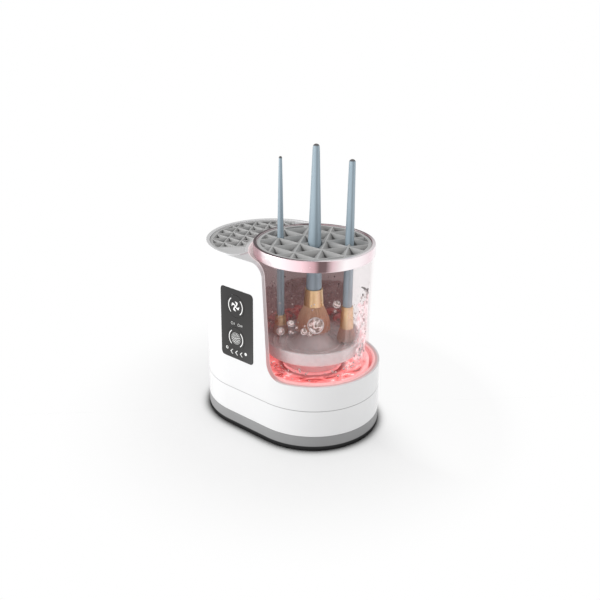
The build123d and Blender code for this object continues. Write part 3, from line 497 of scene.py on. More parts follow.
SLOT_MATERIALS = {
    "white_gloss": plastic(
        "white_gloss_plastic", (0.86, 0.86, 0.865), rough=0.22, variation=0.008, grain=1400,
        grain_depth=0.02, coat=0.35, specular=0.45, rough_variation=0.03),
    # painted shadow: its lowest edge darkens in the gap where it meets the black foot
    "base_grey": plastic(
        "grey_band_plastic", (0.315, 0.315, 0.318), rough=0.42, variation=0.03, grain=2200,
        grain_depth=0.12, foot=(0.0037, 0.0042, 0.012)),
    "black_base": plastic(
        "black_base_plastic", (0.012, 0.012, 0.013), rough=0.5, variation=0.1, grain=1800,
        grain_depth=0.15),
    "rubber_black": plastic(
        "black_rubber", (0.02, 0.02, 0.02), rough=0.75, variation=0.15, grain=1500,
        grain_depth=0.2),
    "silicone_grey": silicone("grey_silicone_cup_grid", z_low=0.1492, z_top=0.1555),
    "inner_white": plastic(
        "matt_white_plastic", (0.7, 0.7, 0.69), rough=0.5, variation=0.03, grain=1500,
        grain_depth=0.1),
    "inner_black": plastic(
        "matt_black_plastic", (0.03, 0.03, 0.032), rough=0.5, variation=0.1, grain=1500,
        grain_depth=0.12),
    "pcb": plastic(
        "solder_mask_green", (0.02, 0.16, 0.07), rough=0.35, variation=0.12, grain=700,
        grain_depth=0.15),
    "component_black": plastic(
        "component_black", (0.03, 0.03, 0.03), rough=0.45, variation=0.2, grain=1100,
        grain_depth=0.1),
    "wire_rubber": plastic(
        "wire_red_sleeve", (0.42, 0.03, 0.03), rough=0.4, variation=0.1, grain=1200,
        grain_depth=0.06),
    "acetal": plastic(
        "acetal_white", (0.74, 0.73, 0.69), rough=0.38, variation=0.03, grain=1200,
        grain_depth=0.06),
    "steel": plastic(
        "ground_steel", (0.55, 0.55, 0.57), rough=0.3, variation=0.05, grain=900,
        grain_depth=0.08, metal=1.0),
    "motor_steel": plastic(
        "plated_motor_can", (0.5, 0.5, 0.52), rough=0.34, variation=0.06, grain=700,
        grain_depth=0.08, metal=1.0),
    "heater_metal": plastic(
        "heater_aluminium", (0.65, 0.65, 0.66), rough=0.4, variation=0.06, grain=700,
        grain_depth=0.12, metal=1.0),
    "bronze": plastic(
        "sintered_bronze", (0.42, 0.26, 0.12), rough=0.45, variation=0.12, grain=1700,
        grain_depth=0.25, metal=1.0),
    "brass_gear": plastic(
        "turned_brass", (0.7, 0.5, 0.2), rough=0.28, variation=0.06, grain=900,
        grain_depth=0.06, metal=1.0),
    "well_pink": cup_well(),
    "clear_cup": CLEAR,
    "rose_gold": RING,
    "panel_glass": panel_glass(),
    "dish_white": DISH,
    "handle_blue": handle_lacquer(),
    "ferrule_gold": FERRULE,
    "bristle_tan": BRISTLE,
}
# Pieces whose material differs from their slot's.
NODE_MATERIALS = {
    "main_shell": SHELL,
    "lower_shell": SHELL,
    # painted shade: the tray's up-facing land coloured grey
    "drying_tray": plastic(
        "drying_tray_painted_shade_grey", (0.60, 0.60, 0.60), rough=0.4, variation=0.02, grain=1500,
        grain_depth=0.06),
    "drying_grid": silicone("grey_silicone_drying_grid", z_low=0.1436, z_top=0.1485),
}

node_slots = {part["node"]: part["material_slot"] for part in frame["record"]["subparts"]}
for name, piece in NODES.items():
    slot = node_slots[name]
    piece.data.materials.clear()
    piece.data.materials.append(NODE_MATERIALS.get(name, SLOT_MATERIALS[slot]))


# ------------------------------------------------------------------ mesh building
def shade_smooth(mesh, sharp=None):
    """Smooth every face, with edges over sharp degrees kept crisp."""
    mesh.polygons.foreach_set("use_smooth", [True] * len(mesh.polygons))
    if sharp is not None:
        mesh.set_sharp_from_angle(angle=math.radians(sharp))


def add_object(name, mesh, material, body):
    mesh.materials.append(material)
    made = bpy.data.objects.new(name, mesh)
    scene.collection.objects.link(made)
    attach(made, body)
    return made


def solid(name, verts, faces, material, body, sharp=None):
    """Closed mesh with outward normals; flat shaded when sharp is None."""
    mesh = bpy.data.meshes.new(name)
    mesh.from_pydata(verts, [], faces)
    mesh.validate()
    bm = bmesh.new()
    bm.from_mesh(mesh)
    bmesh.ops.remove_doubles(bm, verts=bm.verts, dist=1e-7)
    bmesh.ops.recalc_face_normals(bm, faces=bm.faces)
    bm.to_mesh(mesh)
    bm.free()
    if sharp is not None:
        shade_smooth(mesh, sharp)
    return add_object(name, mesh, material, body)


def rounded(points, radii, steps=5):
    """Closed (r, z) profile with its corners eased; points on the axis stay."""
    eased = []
    for i, point in enumerate(points):
        corner = Vector(point)
        back = Vector(points[i - 1]) - corner
        ahead = Vector(points[(i + 1) % len(points)]) - corner
        back_length, ahead_length = back.length, ahead.length
        back.normalize()
        ahead.normalize()
        if point[0] < 1e-6 or back.angle(ahead) > math.radians(172):
            eased.append(point)
            continue
        radius = radii[i] if isinstance(radii, list) else radii
        cut = min(radius / math.tan(back.angle(ahead) / 2),
                  back_length * 0.45, ahead_length * 0.45)
        start, end = corner + back * cut, corner + ahead * cut
        for k in range(steps + 1):
            t = k / steps
            on_curve = start * (1 - t) ** 2 + corner * 2 * t * (1 - t) + end * t ** 2
            eased.append((on_curve.x, on_curve.y))
    return eased


def lathe(name, profile, axis, material, body, seg, closed=True, replaces=None,
          sharp=32.0):
    """Turned solid from an (r, z) profile about a vertical axis at (x, y)."""
    axis_x, axis_y = axis[0] * MM, axis[1] * MM
    verts, faces, rings = [], [], []
    for r, z in profile:
        first = len(verts)
        if r < 1e-6:
            verts.append((axis_x, axis_y, z * MM))
        else:
            for k in range(seg):
                angle = 2 * math.pi * k / seg
                verts.append((axis_x + r * MM * math.cos(angle),
                              axis_y + r * MM * math.sin(angle), z * MM))
        rings.append(range(first, len(verts)))
    pairs = list(zip(rings, rings[1:]))
    if closed:
        pairs.append((rings[-1], rings[0]))
    for low, high in pairs:
        if len(low) == 1 and len(high) == 1:
            continue
        for k in range(seg):
            j = (k + 1) % seg
            if len(low) == 1:
                faces.append((low[0], high[j], high[k]))
            elif len(high) == 1:
                faces.append((low[k], low[j], high[0]))
            else:
                faces.append((low[k], low[j], high[j], high[k]))
    made = solid(name, verts, faces, material, body, sharp)
    if replaces:
        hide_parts(replaces)


for piece in NODES.values():
    shade_smooth(piece.data, sharp=28)

# ------------------------------------------------------------------ cup, ring and dish
# Closed (radius, z) outlines about the cup axis.
CUP_PROFILE = [
    (12.4, 40.2), (47.6, 40.2), (49.4, 42.0), (49.6, 54.5), (48.9, 57.6), (46.9, 60.2),
    (45.8, 62.2), (47.45, 146.9), (46.6, 146.9), (46.6, 155.6), (45.4, 155.6), (45.4, 149.0),
    (43.9, 149.0), (43.9, 147.2), INNER_TOP, INNER_FOOT, (44.6, 60.6), (46.8, 57.4),
    (47.3, 54.5), (47.1, 44.0), (45.6, 42.7), (15.4, 42.7), (15.4, 54.0), (13.6, 56.6),
    (5.02, 56.6), (5.02, 52.2), (12.4, 52.2)]
RING_PROFILE = [(46.65, 147.05), (47.9, 147.05), (47.9, 156.1), (45.35, 156.1),
                (45.35, 155.65), (46.65, 155.65)]
RING_CORNERS = [0.1, 0.5, 0.6, 0.25, 0.1, 0.1]
DISH_PROFILE = [
    (2.55, 60.2), (5.4, 60.2), (5.4, 62.5), (20.0, 62.5), (20.0, 54.2), (20.8, 53.2),
    (24.4, 53.2), (25.2, 54.0), (25.4, 63.5), (26.6, 65.5), (38.2, 65.5), (39.3, 66.4),
    (40.4, 76.4), (40.0, 77.1), (38.8, 77.1), (38.3, 76.6), (37.4, 70.6), (36.4, 69.6),
    (33.4, 69.6), (32.9, 70.3), (32.2, 70.3), (31.7, 69.6), (28.4, 69.6), (27.9, 70.3),
    (27.2, 70.3), (26.7, 69.6), (23.4, 69.6), (22.9, 70.3), (22.2, 70.3), (21.7, 69.6),
    (18.4, 69.6), (17.2, 70.2), (3.6, 84.6), (2.4, 85.6), (0, 86.0), (0, 72.1), (2.55, 72.1)]

lathe("clear_wash_cup", rounded(CUP_PROFILE, 1.1), CUP_AXIS, CLEAR, "cup",
      seg=192, replaces="wash_cup")
lathe("plated_cup_ring", rounded(RING_PROFILE, RING_CORNERS), CUP_AXIS, RING, "cup",
      seg=224, replaces="cup_ring")
lathe("spinning_dish", rounded(DISH_PROFILE, 0.5, steps=4), CUP_AXIS, DISH, "dish",
      seg=160, replaces="cleaning_dish")

# ------------------------------------------------------------------ brushes
# at is the axis (x, y); handle, ferrule and bristles are (z, radius) stations going down;
# domed bristles end higher in the middle than at the edge.
BRUSHES = {
    "left": dict(
        at=(-5.7, -8.6), filaments=420, domed=False,
        handle=[(220.0, 1.25), (153.0, 2.65), (130.0, 3.0), (88.6, 3.2)],
        ferrule=[(88.6, 3.9), (87.4, 4.4), (80.2, 4.9)],
        bristles=[(80.2, 4.6), (76.5, 6.1), (71.6, 6.4)]),
    "centre": dict(
        at=(22.2, 0.2), filaments=1500, domed=True,
        handle=[(232.0, 2.6), (153.0, 5.3), (137.0, 5.8), (116.6, 6.25)],
        ferrule=[(116.6, 7.0), (115.4, 7.2), (102.3, 8.0)],
        bristles=[(102.3, 7.7), (94.6, 11.6), (88.0, 13.8), (80.5, 14.4)]),
    "right": dict(
        at=(44.0, 16.5), filaments=560, domed=False,
        handle=[(221.0, 2.5), (153.0, 3.5), (137.0, 3.75), (101.9, 3.9)],
        ferrule=[(101.9, 4.6), (100.8, 4.9), (83.2, 5.6)],
        bristles=[(83.2, 5.3), (77.0, 7.3), (71.4, 7.8)]),
}
DOME_MIDDLE_Z, DOME_EDGE_Z, DOME_RADIUS = 88.2, 80.3, 14.0


def radius_at(stations, z):
    """Radius at height z from (z, radius) stations that fall in z."""
    if z >= stations[0][0]:
        return stations[0][1]
    for (z0, r0), (z1, r1) in zip(stations, stations[1:]):
        if z1 <= z <= z0:
            return r0 + (r1 - r0) * (z0 - z) / (z0 - z1)
    return stations[-1][1]


def brush_handle(side, brush):
    """Domed tip, long taper, and a small shoulder where the ferrule grips."""
    tip_z, tip_r = brush["handle"][0]
    joint_z, joint_r = brush["handle"][-1]
    profile = []
    for k in range(9):
        angle = math.pi / 2 * (1 - k / 8)
        profile.append((max(0.0, tip_r * math.cos(angle)),
                        tip_z - tip_r * (1 - math.sin(angle)) * 0.9))
    steps = 26
    taper_top, taper_end = tip_z - 1.2, joint_z + 0.2
    for k in range(1, steps + 1):
        z = taper_top + (taper_end - taper_top) * k / steps
        profile.append((radius_at(brush["handle"], z), z))
    profile += [(joint_r - 0.12, joint_z), (joint_r - 0.5, joint_z),
                (joint_r - 0.5, joint_z - 5.0), (0.0, joint_z - 5.0)]
    lathe(f"brush_{side}_turned_handle", profile, brush["at"], handle_lacquer(tip_z),
          f"brush_{side}", seg=64, closed=False,
          replaces=f"brush_{side}_handle", sharp=50)


def brush_ferrule(side, brush):
    """Rolled lip, two crimped grooves, and a flare to the mouth."""
    joint_z, joint_r = brush["handle"][-1]
    lip_r = brush["ferrule"][0][1]
    mouth_z, mouth_r = brush["ferrule"][-1]
    crimp_places, crimp_depth, crimp_width = (0.16, 0.24), 0.16, 0.018
    profile = [(joint_r - 0.45, joint_z - 1.0), (joint_r + 0.02, joint_z),
               (lip_r - 0.1, joint_z), (lip_r + 0.12, joint_z - 0.5), (lip_r, joint_z - 1.1)]
    for k in range(1, 25):
        t = k / 25
        z = joint_z - 1.1 - (joint_z - mouth_z - 1.6) * t
        r = radius_at(brush["ferrule"], z)
        for place in crimp_places:
            r -= crimp_depth * math.exp(-((t - place) / crimp_width) ** 2)
        profile.append((r, z))
    profile += [(mouth_r, mouth_z + 0.3), (mouth_r + 0.02, mouth_z), (mouth_r - 0.3, mouth_z),
                (mouth_r - 0.35, mouth_z + 2.0), (0.0, mouth_z + 2.0)]
    lathe(f"brush_{side}_crimped_ferrule", profile, brush["at"], FERRULE, f"brush_{side}",
          seg=72, closed=False, replaces=f"brush_{side}_ferrule", sharp=40)


def brush_filaments(side, brush):
    """Tapered three-sided filaments that fan out; two in three lie in the outer fifth."""
    axis_x, axis_y = brush["at"]
    stations = brush["bristles"]
    root_z = stations[0][0] + 1.5
    low_z, low_r = stations[-1]
    rng = random.Random(11 + len(side))
    steps = 6
    verts, faces = [], []
    for number in range(brush["filaments"]):
        spread = math.sqrt(rng.random())
        if number % 3:
            spread = 0.80 + 0.20 * rng.random()
        angle = 2 * math.pi * rng.random()
        twist = rng.uniform(-0.10, 0.10)
        shortening = rng.uniform(0.0, 1.0) * 1.3
        end_z = low_z - 0.5
        if brush["domed"]:
            end_z = DOME_MIDDLE_Z - (DOME_MIDDLE_Z - DOME_EDGE_Z) * min(
                1.0, spread * low_r / DOME_RADIUS)
        end_z += shortening
        root_width = rng.uniform(0.10, 0.16)
        base = len(verts)
        for k in range(steps + 1):
            t = k / steps
            z = root_z - (root_z - end_z) * t
            reach = spread * radius_at(stations, z) * 0.985
            turned = angle + twist * t * t
            x = axis_x + reach * math.cos(turned)
            y = axis_y + reach * math.sin(turned)
            width = root_width * (1 - 0.75 * t ** 3)
            for c in range(3):
                corner = turned + 2 * math.pi * c / 3
                verts.append(((x + width * math.cos(corner)) * MM,
                              (y + width * math.sin(corner)) * MM, z * MM))
        for k in range(steps):
            i = base + k * 3
            for c in range(3):
                d = (c + 1) % 3
                faces.append((i + c, i + d, i + 3 + d, i + 3 + c))
        faces.append((base + 2, base + 1, base))
        end = base + steps * 3
        faces.append((end, end + 1, end + 2))
    made = solid(f"brush_{side}_filaments", verts, faces, BRISTLE, f"brush_{side}",
                 sharp=70)
    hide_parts(f"brush_{side}_bristles")


def brush_core(side, brush):
    """Solid core that fills the space between the filaments."""
    stations = brush["bristles"]
    root_z = stations[0][0]
    low_z, low_r = stations[-1]
    profile = [(0.0, root_z - 0.05)]
    for k in range(9):
        z = root_z - 0.05 - (root_z - low_z - 1.4) * k / 8
        profile.append((radius_at(stations, z) * 0.93, z))
    profile.append((low_r * 0.82, low_z + 1.0))
    if brush["domed"]:
        profile += [(low_r * 0.5, low_z + 4.6), (0, low_z + 8.4)]
    else:
        profile.append((0, low_z + 0.8))
    lathe(f"brush_{side}_bristle_core", profile, brush["at"], BRISTLE, f"brush_{side}",
          seg=56, closed=False, sharp=60)


for side, brush in BRUSHES.items():
    brush_handle(side, brush)
    brush_ferrule(side, brush)
    brush_filaments(side, brush)
    brush_core(side, brush)

# ------------------------------------------------------------------ silicone grid edges
for name, width in (("brush_grid", 0.22), ("drying_grid", 0.2)):
    bevel = NODES[name].modifiers.new("eased_edges", "BEVEL")
    bevel.width = width * MM
    bevel.segments = 2
    bevel.limit_method = "ANGLE"
    bevel.angle_limit = math.radians(30)
    bevel.harden_normals = False
    bevel.use_clamp_overlap = True

# ------------------------------------------------------------------ panel marks
INK_WHITE = panel_ink("panel_ink_white", (0.86, 0.86, 0.85), glow=0.25)
INK_GREY = panel_ink("panel_ink_grey", (0.52, 0.52, 0.51), glow=0.12)
WALL_FOOT_Y, WALL_FOOT_Z = 56.1, 3.3    # the drafted -Y wall's distance and height at its foot
WALL_DRAFT = math.tan(math.radians(0.738))
KEY_OUT, PANEL_OUT = 0.28, 0.2          # key and panel faces, out from the wall
MARK_RAISED, MARK_SUNK = 0.05, 0.02
KEY_X, DRY_KEY_Z, WASH_KEY_Z = -11.5, 108.6, 81.0
ALMOST_ROUND = (0, 350)                 # ring marks leave a small gap, in degrees


def side_marks(name, outlines, out, ink, body):
    """Raised marks on the -Y wall from closed (x, z) outlines."""
    verts, faces = [], []
    for outline in outlines:
        n = len(outline)
        b = len(verts)
        for lift in (-MARK_RAISED, MARK_SUNK):
            for x, z in outline:
                y = -(WALL_FOOT_Y - (z - WALL_FOOT_Z) * WALL_DRAFT + out)
                verts.append((x * MM, (y + lift) * MM, z * MM))
        faces.append(tuple(range(b, b + n)))
        faces.append(tuple(range(b + 2 * n - 1, b + n - 1, -1)))
        for k in range(n):
            j = (k + 1) % n
            faces.append((b + k, b + n + k, b + n + j, b + j))
    solid(name, verts, faces, ink, body)


def polar(x, z, radius, angle):
    return (x + radius * math.cos(angle), z + radius * math.sin(angle))


def arc_band(x, z, radius, width, span, steps=18):
    """Band along an arc; span is (start, end) in degrees."""
    angles = [math.radians(span[0] + (span[1] - span[0]) * k / steps)
              for k in range(steps + 1)]
    return ([polar(x, z, radius + width / 2, angle) for angle in angles]
            + [polar(x, z, radius - width / 2, angle) for angle in reversed(angles)])


def disc(x, z, radius, sides=20):
    return [polar(x, z, radius, 2 * math.pi * k / sides) for k in range(sides)]


def fan_blade(x, z, turn):
    """One swept blade, turned by an angle in degrees."""
    root, tip, sweep, width = 0.6, 4.1, 34, 46
    leading = [(root + (tip - root) * k / 8, turn + sweep * k / 8) for k in range(9)]
    end = [(tip, turn + sweep + width * k / 6) for k in range(7)]
    trailing = []
    for k in range(9):
        t = 1 - k / 8
        trailing.append((root + (tip - root) * t, turn + sweep * t + width * t ** 0.4))
    return [polar(x, z, r, math.radians(degrees)) for r, degrees in leading + end + trailing]


def chevron(x, z):
    """Arrow head pointing to -X."""
    size, width = 1.35, 0.75
    tip, arm, rise = x - size, x + size * 0.6, size * 1.5
    return [(tip, z), (arm, z + rise), (arm + width, z + rise), (tip + width * 1.2, z),
            (arm + width, z - rise), (arm, z - rise)]


def timer_bar(x):
    z_low, z_high, width = 92.6, 94.3, 0.7
    return [(x, z_low), (x + width, z_low), (x + width, z_high), (x, z_high)]


def timer_ring(x):
    return arc_band(x, 93.4, 1.05, 0.42, ALMOST_ROUND, steps=20)


def spray_dots():
    """Three rings of dots round a middle dot; each ring starts at its radius in radians."""
    dots = []
    for ring_radius, count in ((1.4, 6), (2.6, 11), (3.8, 16)):
        for k in range(count):
            x, z = polar(KEY_X, WASH_KEY_Z, ring_radius, 2 * math.pi * k / count + ring_radius)
            dots.append(disc(x, z, 0.42, sides=8))
    dots.append(disc(KEY_X, WASH_KEY_Z, 0.5, sides=10))
    return dots


for key, key_z in (("dry", DRY_KEY_Z), ("wash", WASH_KEY_Z)):
    brackets = [arc_band(KEY_X, key_z, 7.5, 0.75, span) for span in ((128, 228), (-52, 48))]
    side_marks(f"{key}_key_brackets", brackets, KEY_OUT, INK_WHITE, f"{key}_button")
fan = [fan_blade(KEY_X, DRY_KEY_Z, 20 + 90 * k) for k in range(4)]
side_marks("dry_key_fan_mark", fan + [disc(KEY_X, DRY_KEY_Z, 1.1)], KEY_OUT, INK_WHITE,
           "dry_button")
side_marks("wash_key_spray_mark", spray_dots(), KEY_OUT, INK_WHITE, "wash_button")
side_marks("wash_key_spray_ring",
           [arc_band(KEY_X, WASH_KEY_Z, 4.85, 0.35, ALMOST_ROUND, steps=40)],
           KEY_OUT, INK_GREY, "wash_button")
side_marks("panel_level_marks", [chevron(-16.6, 68.4), chevron(-11.3, 68.5), chevron(-6.0, 68.6)],
           PANEL_OUT, INK_WHITE, "housing")
side_marks("panel_level_ends",
           [arc_band(-21.6, 70.4, 1.0, 0.55, ALMOST_ROUND, steps=20), disc(-1.0, 70.4, 1.25)],
           PANEL_OUT, INK_WHITE, "housing")
side_marks("panel_timer_marks",
           [timer_ring(-15.6), timer_bar(-13.6), timer_ring(-8.3), timer_bar(-6.3),
            timer_bar(-5.1)],
           PANEL_OUT, INK_GREY, "housing")

# ------------------------------------------------------------------ liquid
DARK_DROP = plastic("dark_liquid_drop", (0.055, 0.018, 0.018), rough=0.12, variation=0.2,
                    grain=700, grain_depth=0.1, specular=0.8)
POOL, FILM, BUBBLE = pool_liquid(), film_liquid(), bubble_skin()


def cup_inner(z):
    """Inner radius of the cup wall at height z."""
    (foot_r, foot_z), (top_r, top_z) = INNER_FOOT, INNER_TOP
    return foot_r + (z - foot_z) * (top_r - foot_r) / (top_z - foot_z)


def smoothstep(value, zero_at, one_at):
    t = min(1.0, max(0.0, (value - zero_at) / (one_at - zero_at)))
    return t * t * (3 - 2 * t)


def clamp01(value):
    return max(0.0, min(1.0, value))


def blend(first, second, amount):
    return tuple(a * (1 - amount) + b * amount for a, b in zip(first, second))


def degrees_from(angle, centre):
    """Unsigned difference of two headings in degrees."""
    return abs(((angle - centre + 180) % 360) - 180)


def ripple(x, y, z, scale, seed):
    return noise.noise(Vector((x * scale + seed, y * scale - seed * 0.7,
                               z * scale + seed * 1.3)))


def wall_ripple(angle, z, scale, seed):
    """Ripple noise sampled near the cup wall."""
    return ripple(math.cos(angle) * 44, math.sin(angle) * 44, z, scale, seed)


def in_cup(radius, angle, z):
    """Vertex in metres from a place about the cup axis."""
    return (CUP_X * MM + radius * math.cos(angle) * MM, radius * math.sin(angle) * MM, z * MM)


def pool():
    """Liquid between the centre boss and the cup wall; its surface is slightly hollow."""
    rows, seg = 30, 144
    boss_r, wall_r, wall_bottom_r, bottom_z = 15.8, 47.0, 46.6, 44.5
    flat_r, level = 26.5, 50.6
    verts, faces = [], []
    for i in range(rows + 1):
        r = boss_r + (wall_r - boss_r) * i / rows
        z = level + 4.4 * max(0.0, (r - flat_r) / 20.5) ** 1.2
        if r < flat_r:
            z = level - 0.3 * (flat_r - r) / 10
        wave = 0.55 if r > 27 else 0.2
        for k in range(seg):
            angle = 2 * math.pi * k / seg
            x, y = r * math.cos(angle), r * math.sin(angle)
            lift = wave * 1.6 * ripple(x, y, 0, scale=0.14, seed=3.0)
            lift += 0.5 * wave * ripple(x, y, 0, scale=0.33, seed=9.0)
            verts.append(in_cup(r, angle, z + lift))
    for r in (boss_r, wall_bottom_r):
        for k in range(seg):
            verts.append(in_cup(r, 2 * math.pi * k / seg, bottom_z))
    rings = [range(i * seg, (i + 1) * seg) for i in range(rows + 3)]
    surface, inner_bottom, outer_bottom = rings[:rows + 1], rings[-2], rings[-1]
    for low, high in zip(surface, surface[1:]):
        for k in range(seg):
            j = (k + 1) % seg
            faces.append((low[k], high[k], high[j], low[j]))
    skirt = [surface[-1], outer_bottom, inner_bottom, surface[0]]
    for k in range(seg):
        j = (k + 1) % seg
        for first, second in zip(skirt, skirt[1:]):
            faces.append((first[k], second[k], second[j], first[j]))
    solid("wash_liquid_pool", verts, faces, POOL, "cup", sharp=60)


def liquid_sheet(name, verts, rows, columns, closed, cover, tint):
    """Open grid of vertices with the film's opacity and colour on each."""
    row = columns if closed else columns + 1
    faces = []
    for i in range(rows):
        for k in range(columns):
            j = (k + 1) % row
            faces.append((i * row + k, i * row + j, (i + 1) * row + j, (i + 1) * row + k))
    mesh = bpy.data.meshes.new(name)
    mesh.from_pydata(verts, [], faces)
    shade_smooth(mesh)
    layer = mesh.attributes.new("cover", "FLOAT", "POINT")
    layer.data.foreach_set("value", cover)
    layer = mesh.attributes.new("tint", "FLOAT_COLOR", "POINT")
    layer.data.foreach_set("color", [channel for colour in tint for channel in rgba(colour)])
    add_object(name, mesh, FILM, "cup")


def film_look(angle, degrees, z):
    """Cover and tint of the film. Headings are degrees about the cup axis, 0 = +X."""
    tower = smoothstep(degrees_from(degrees, 154), 69, 63)      # half towards the tower
    splash = smoothstep(abs(degrees - 25), 33, 20)              # +X side
    # the -X -Y corner gets deeper painted shade
    corner = smoothstep(degrees_from(degrees, 214), 30, 13)     # -X -Y corner of the tower side
    broad = wall_ripple(angle, z, scale=0.07, seed=1.0)
    medium = wall_ripple(angle, z, scale=0.2, seed=7.0)
    fine = wall_ripple(angle, z * 0.5, scale=0.5, seed=3.0)

    # opacity
    waterline = 107.5 + 3.4 * broad + 1.2 * medium
    below = smoothstep(z, waterline + 0.7, waterline - 0.9)
    streak = smoothstep(abs(z - (79.5 + 4 * broad + 3 * medium)), 3.6, 0.8)
    tower_cover = 0.05 + below * (0.72 + 0.22 * medium)
    tower_cover = min(0.95, tower_cover + 0.30 * streak * below)
    tower_cover = tower_cover * (1 - corner) + corner * (0.10 + 0.82 * below)
    rest_cover = ((0.04 + 0.24 * max(0.0, medium))
                  * smoothstep(z, 96 + 8 * broad, 80 + 8 * broad) * smoothstep(z, 64, 72))
    splash_top = 118.0 + 14.0 * broad + 6.0 * medium
    splash_cover = (smoothstep(z, splash_top + 2, splash_top - 4)
                    * (0.36 + 0.9 * max(0.0, medium + 0.05)))
    cover = tower * tower_cover + (1 - tower) * max(rest_cover, splash * splash_cover)
    low = smoothstep(z, 63.5, 60.5)
    cover = clamp01(max(cover, 0.25 * low))

    # colour; on the tower side the liquid's red is darkened by painted shade of the tower wall
    # behind it, most in the -X -Y corner
    red = min(1.0, streak * below + smoothstep(z, 78, 70)) * (1 - 0.85 * corner)
    tower_shade_tint = blend((0.115, 0.058, 0.056), (0.28, 0.065, 0.058), red)
    tower_shade_tint = blend(tower_shade_tint, (0.10, 0.040, 0.038), corner)
    splash_tint = blend((0.99, 0.84, 0.85), (0.97, 0.50, 0.54), clamp01(0.5 + 2.4 * fine))
    tint = blend((0.50, 0.42, 0.42), splash_tint, splash)
    tint = blend(tint, tower_shade_tint, tower)
    return cover, blend(tint, (0.97, 0.42, 0.42), low)


def film():
    """Sheet of spun liquid lying on the inside of the cup wall."""
    columns, rows = 288, 110
    z_low, z_high = 58.6, 145.0
    foot_r, foot_z = INNER_FOOT
    verts, covers, tints = [], [], []
    for i in range(rows + 1):
        z = z_low + (z_high - z_low) * i / rows
        wall = cup_inner(z) if z > foot_z else foot_r + (foot_z - z) * 0.25
        for k in range(columns):
            angle = 2 * math.pi * k / columns
            degrees = math.degrees(angle)
            if degrees > 180:
                degrees -= 360
            swell = 0.25 * abs(wall_ripple(angle, z, scale=0.12, seed=5.0))
            verts.append(in_cup(wall - 0.35 - swell, angle, z))
            cover, tint = film_look(angle, degrees, z)
            covers.append(cover)
            tints.append(tint)
    liquid_sheet("wash_liquid_film", verts, rows, columns, True, covers, tints)


def swirl():
    """Curved sheet thrown over the dish rim on the tower side, from dish floor to cup wall."""
    columns, rows = 132, 16
    start, end = 62, 232                # headings in degrees
    # section of the sheet: (radius, z)
    section = [(36.6, 71.4), (37.0, 74.0), (37.5, 77.4), (38.4, 78.6), (40.6, 79.4),
               (43.2, 80.4)]
    verts, covers, tints = [], [], []
    for i in range(rows + 1):
        along = i / rows * (len(section) - 1)
        q = min(int(along), len(section) - 2)
        radius, level = blend(section[q], section[q + 1], along - q)
        for k in range(columns + 1):
            degrees = start + (end - start) * k / columns
            angle = math.radians(degrees)
            broad = wall_ripple(angle, level, scale=0.10, seed=2.0)
            medium = wall_ripple(angle, level, scale=0.28, seed=8.0)
            z = level + 0.9 * broad
            verts.append(in_cup(radius, angle, z))
            ends = smoothstep(abs(degrees - (start + end) / 2), 84, 66)
            lowest = smoothstep(z, 72.0 + 2.0 * broad, 74.6 + 2.0 * broad)
            covers.append(max(0.0, min(0.95, ends * lowest * (0.86 + 0.5 * medium))))
            tints.append(blend((0.115, 0.048, 0.045), (0.30, 0.072, 0.066),
                               clamp01(0.45 + 1.8 * medium)))
    liquid_sheet("wash_swirl", verts, rows, columns, False, covers, tints)


# ------------------------------------------------------------------ bubbles and drops
# Bubble centres and radii: x, y, z, radius.
BUBBLES = [
    (47.0, -27.3, 100.4, 6.6), (42.2, -35.6, 96.6, 2.7), (45.9, -33.2, 95.0, 1.9),
    (21.7, -39.4, 92.0, 3.2), (31.7, -38.8, 101.5, 2.7), (32.4, -39.9, 94.9, 1.4),
    (34.8, -39.7, 94.8, 0.9), (58.4, -16.6, 117.7, 2.95), (59.0, -19.3, 113.3, 1.15),
    (37.0, -38.0, 99.2, 1.0), (43.4, -36.3, 101.8, 0.8), (58.2, -11.8, 54.8, 1.25),
    (46.2, -33.0, 54.6, 0.8), (34.0, -39.5, 54.6, 0.7)]
# Scattered drops: count, heading draw (uniform: low, high; gauss: mean, spread; degrees),
# z range, radius range.
DROPLETS = [
    (54, "gauss", (17, 9), (78, 128), (0.3, 1.1)),          # splash trail up the +X wall
    (16, "gauss", (12, 7), (64, 78), (0.6, 1.5)),           # heavier drops above the lip
    (22, "uniform", (-100, -20), (88, 122), (0.25, 0.6)),   # specks over the -Y wall
    (26, "uniform", (95, 205), (84, 118), (0.3, 0.9)),      # specks on the tower side
    (36, "uniform", (-110, 25), (61, 66), (0.3, 0.9)),      # foam near the lip
]
DARK_SCATTER = [
    (22, "uniform", (92, 196), (98, 113), (0.25, 0.62)),    # along the tower side's waterline
    (10, "gauss", (16, 9), (66, 126), (0.2, 0.6)),          # in the +X splash
]
# Placed dark drops: heading in degrees, z, radius.
DARK_MARKS = [
    (7, 127, 0.6), (11, 125.4, 0.9), (15, 123.5, 1.0), (20, 121.6, 0.7), (27, 119.5, 1.0),
    (33, 115, 0.9), (33, 110.5, 0.8), (27, 109, 1.2), (20, 110, 0.9), (12, 111, 0.6),
    (5, 111.5, 0.5), (6, 105, 0.5), (11, 101.5, 0.7), (19, 96, 1.1), (16, 98, 0.5),
    (10, 76.5, 1.3), (9, 73.6, 1.6), (14, 69, 1.4), (20, 70.5, 1.7), (11, 67.4, 1.2),
    (17, 73.5, 1.8), (13, 71.5, 1.9), (24, 67, 1.0), (-26, 134, 0.45), (-33, 130, 0.5),
    (-36, 128, 0.4), (-23, 57.5, 0.3), (36, 80, 0.6)]


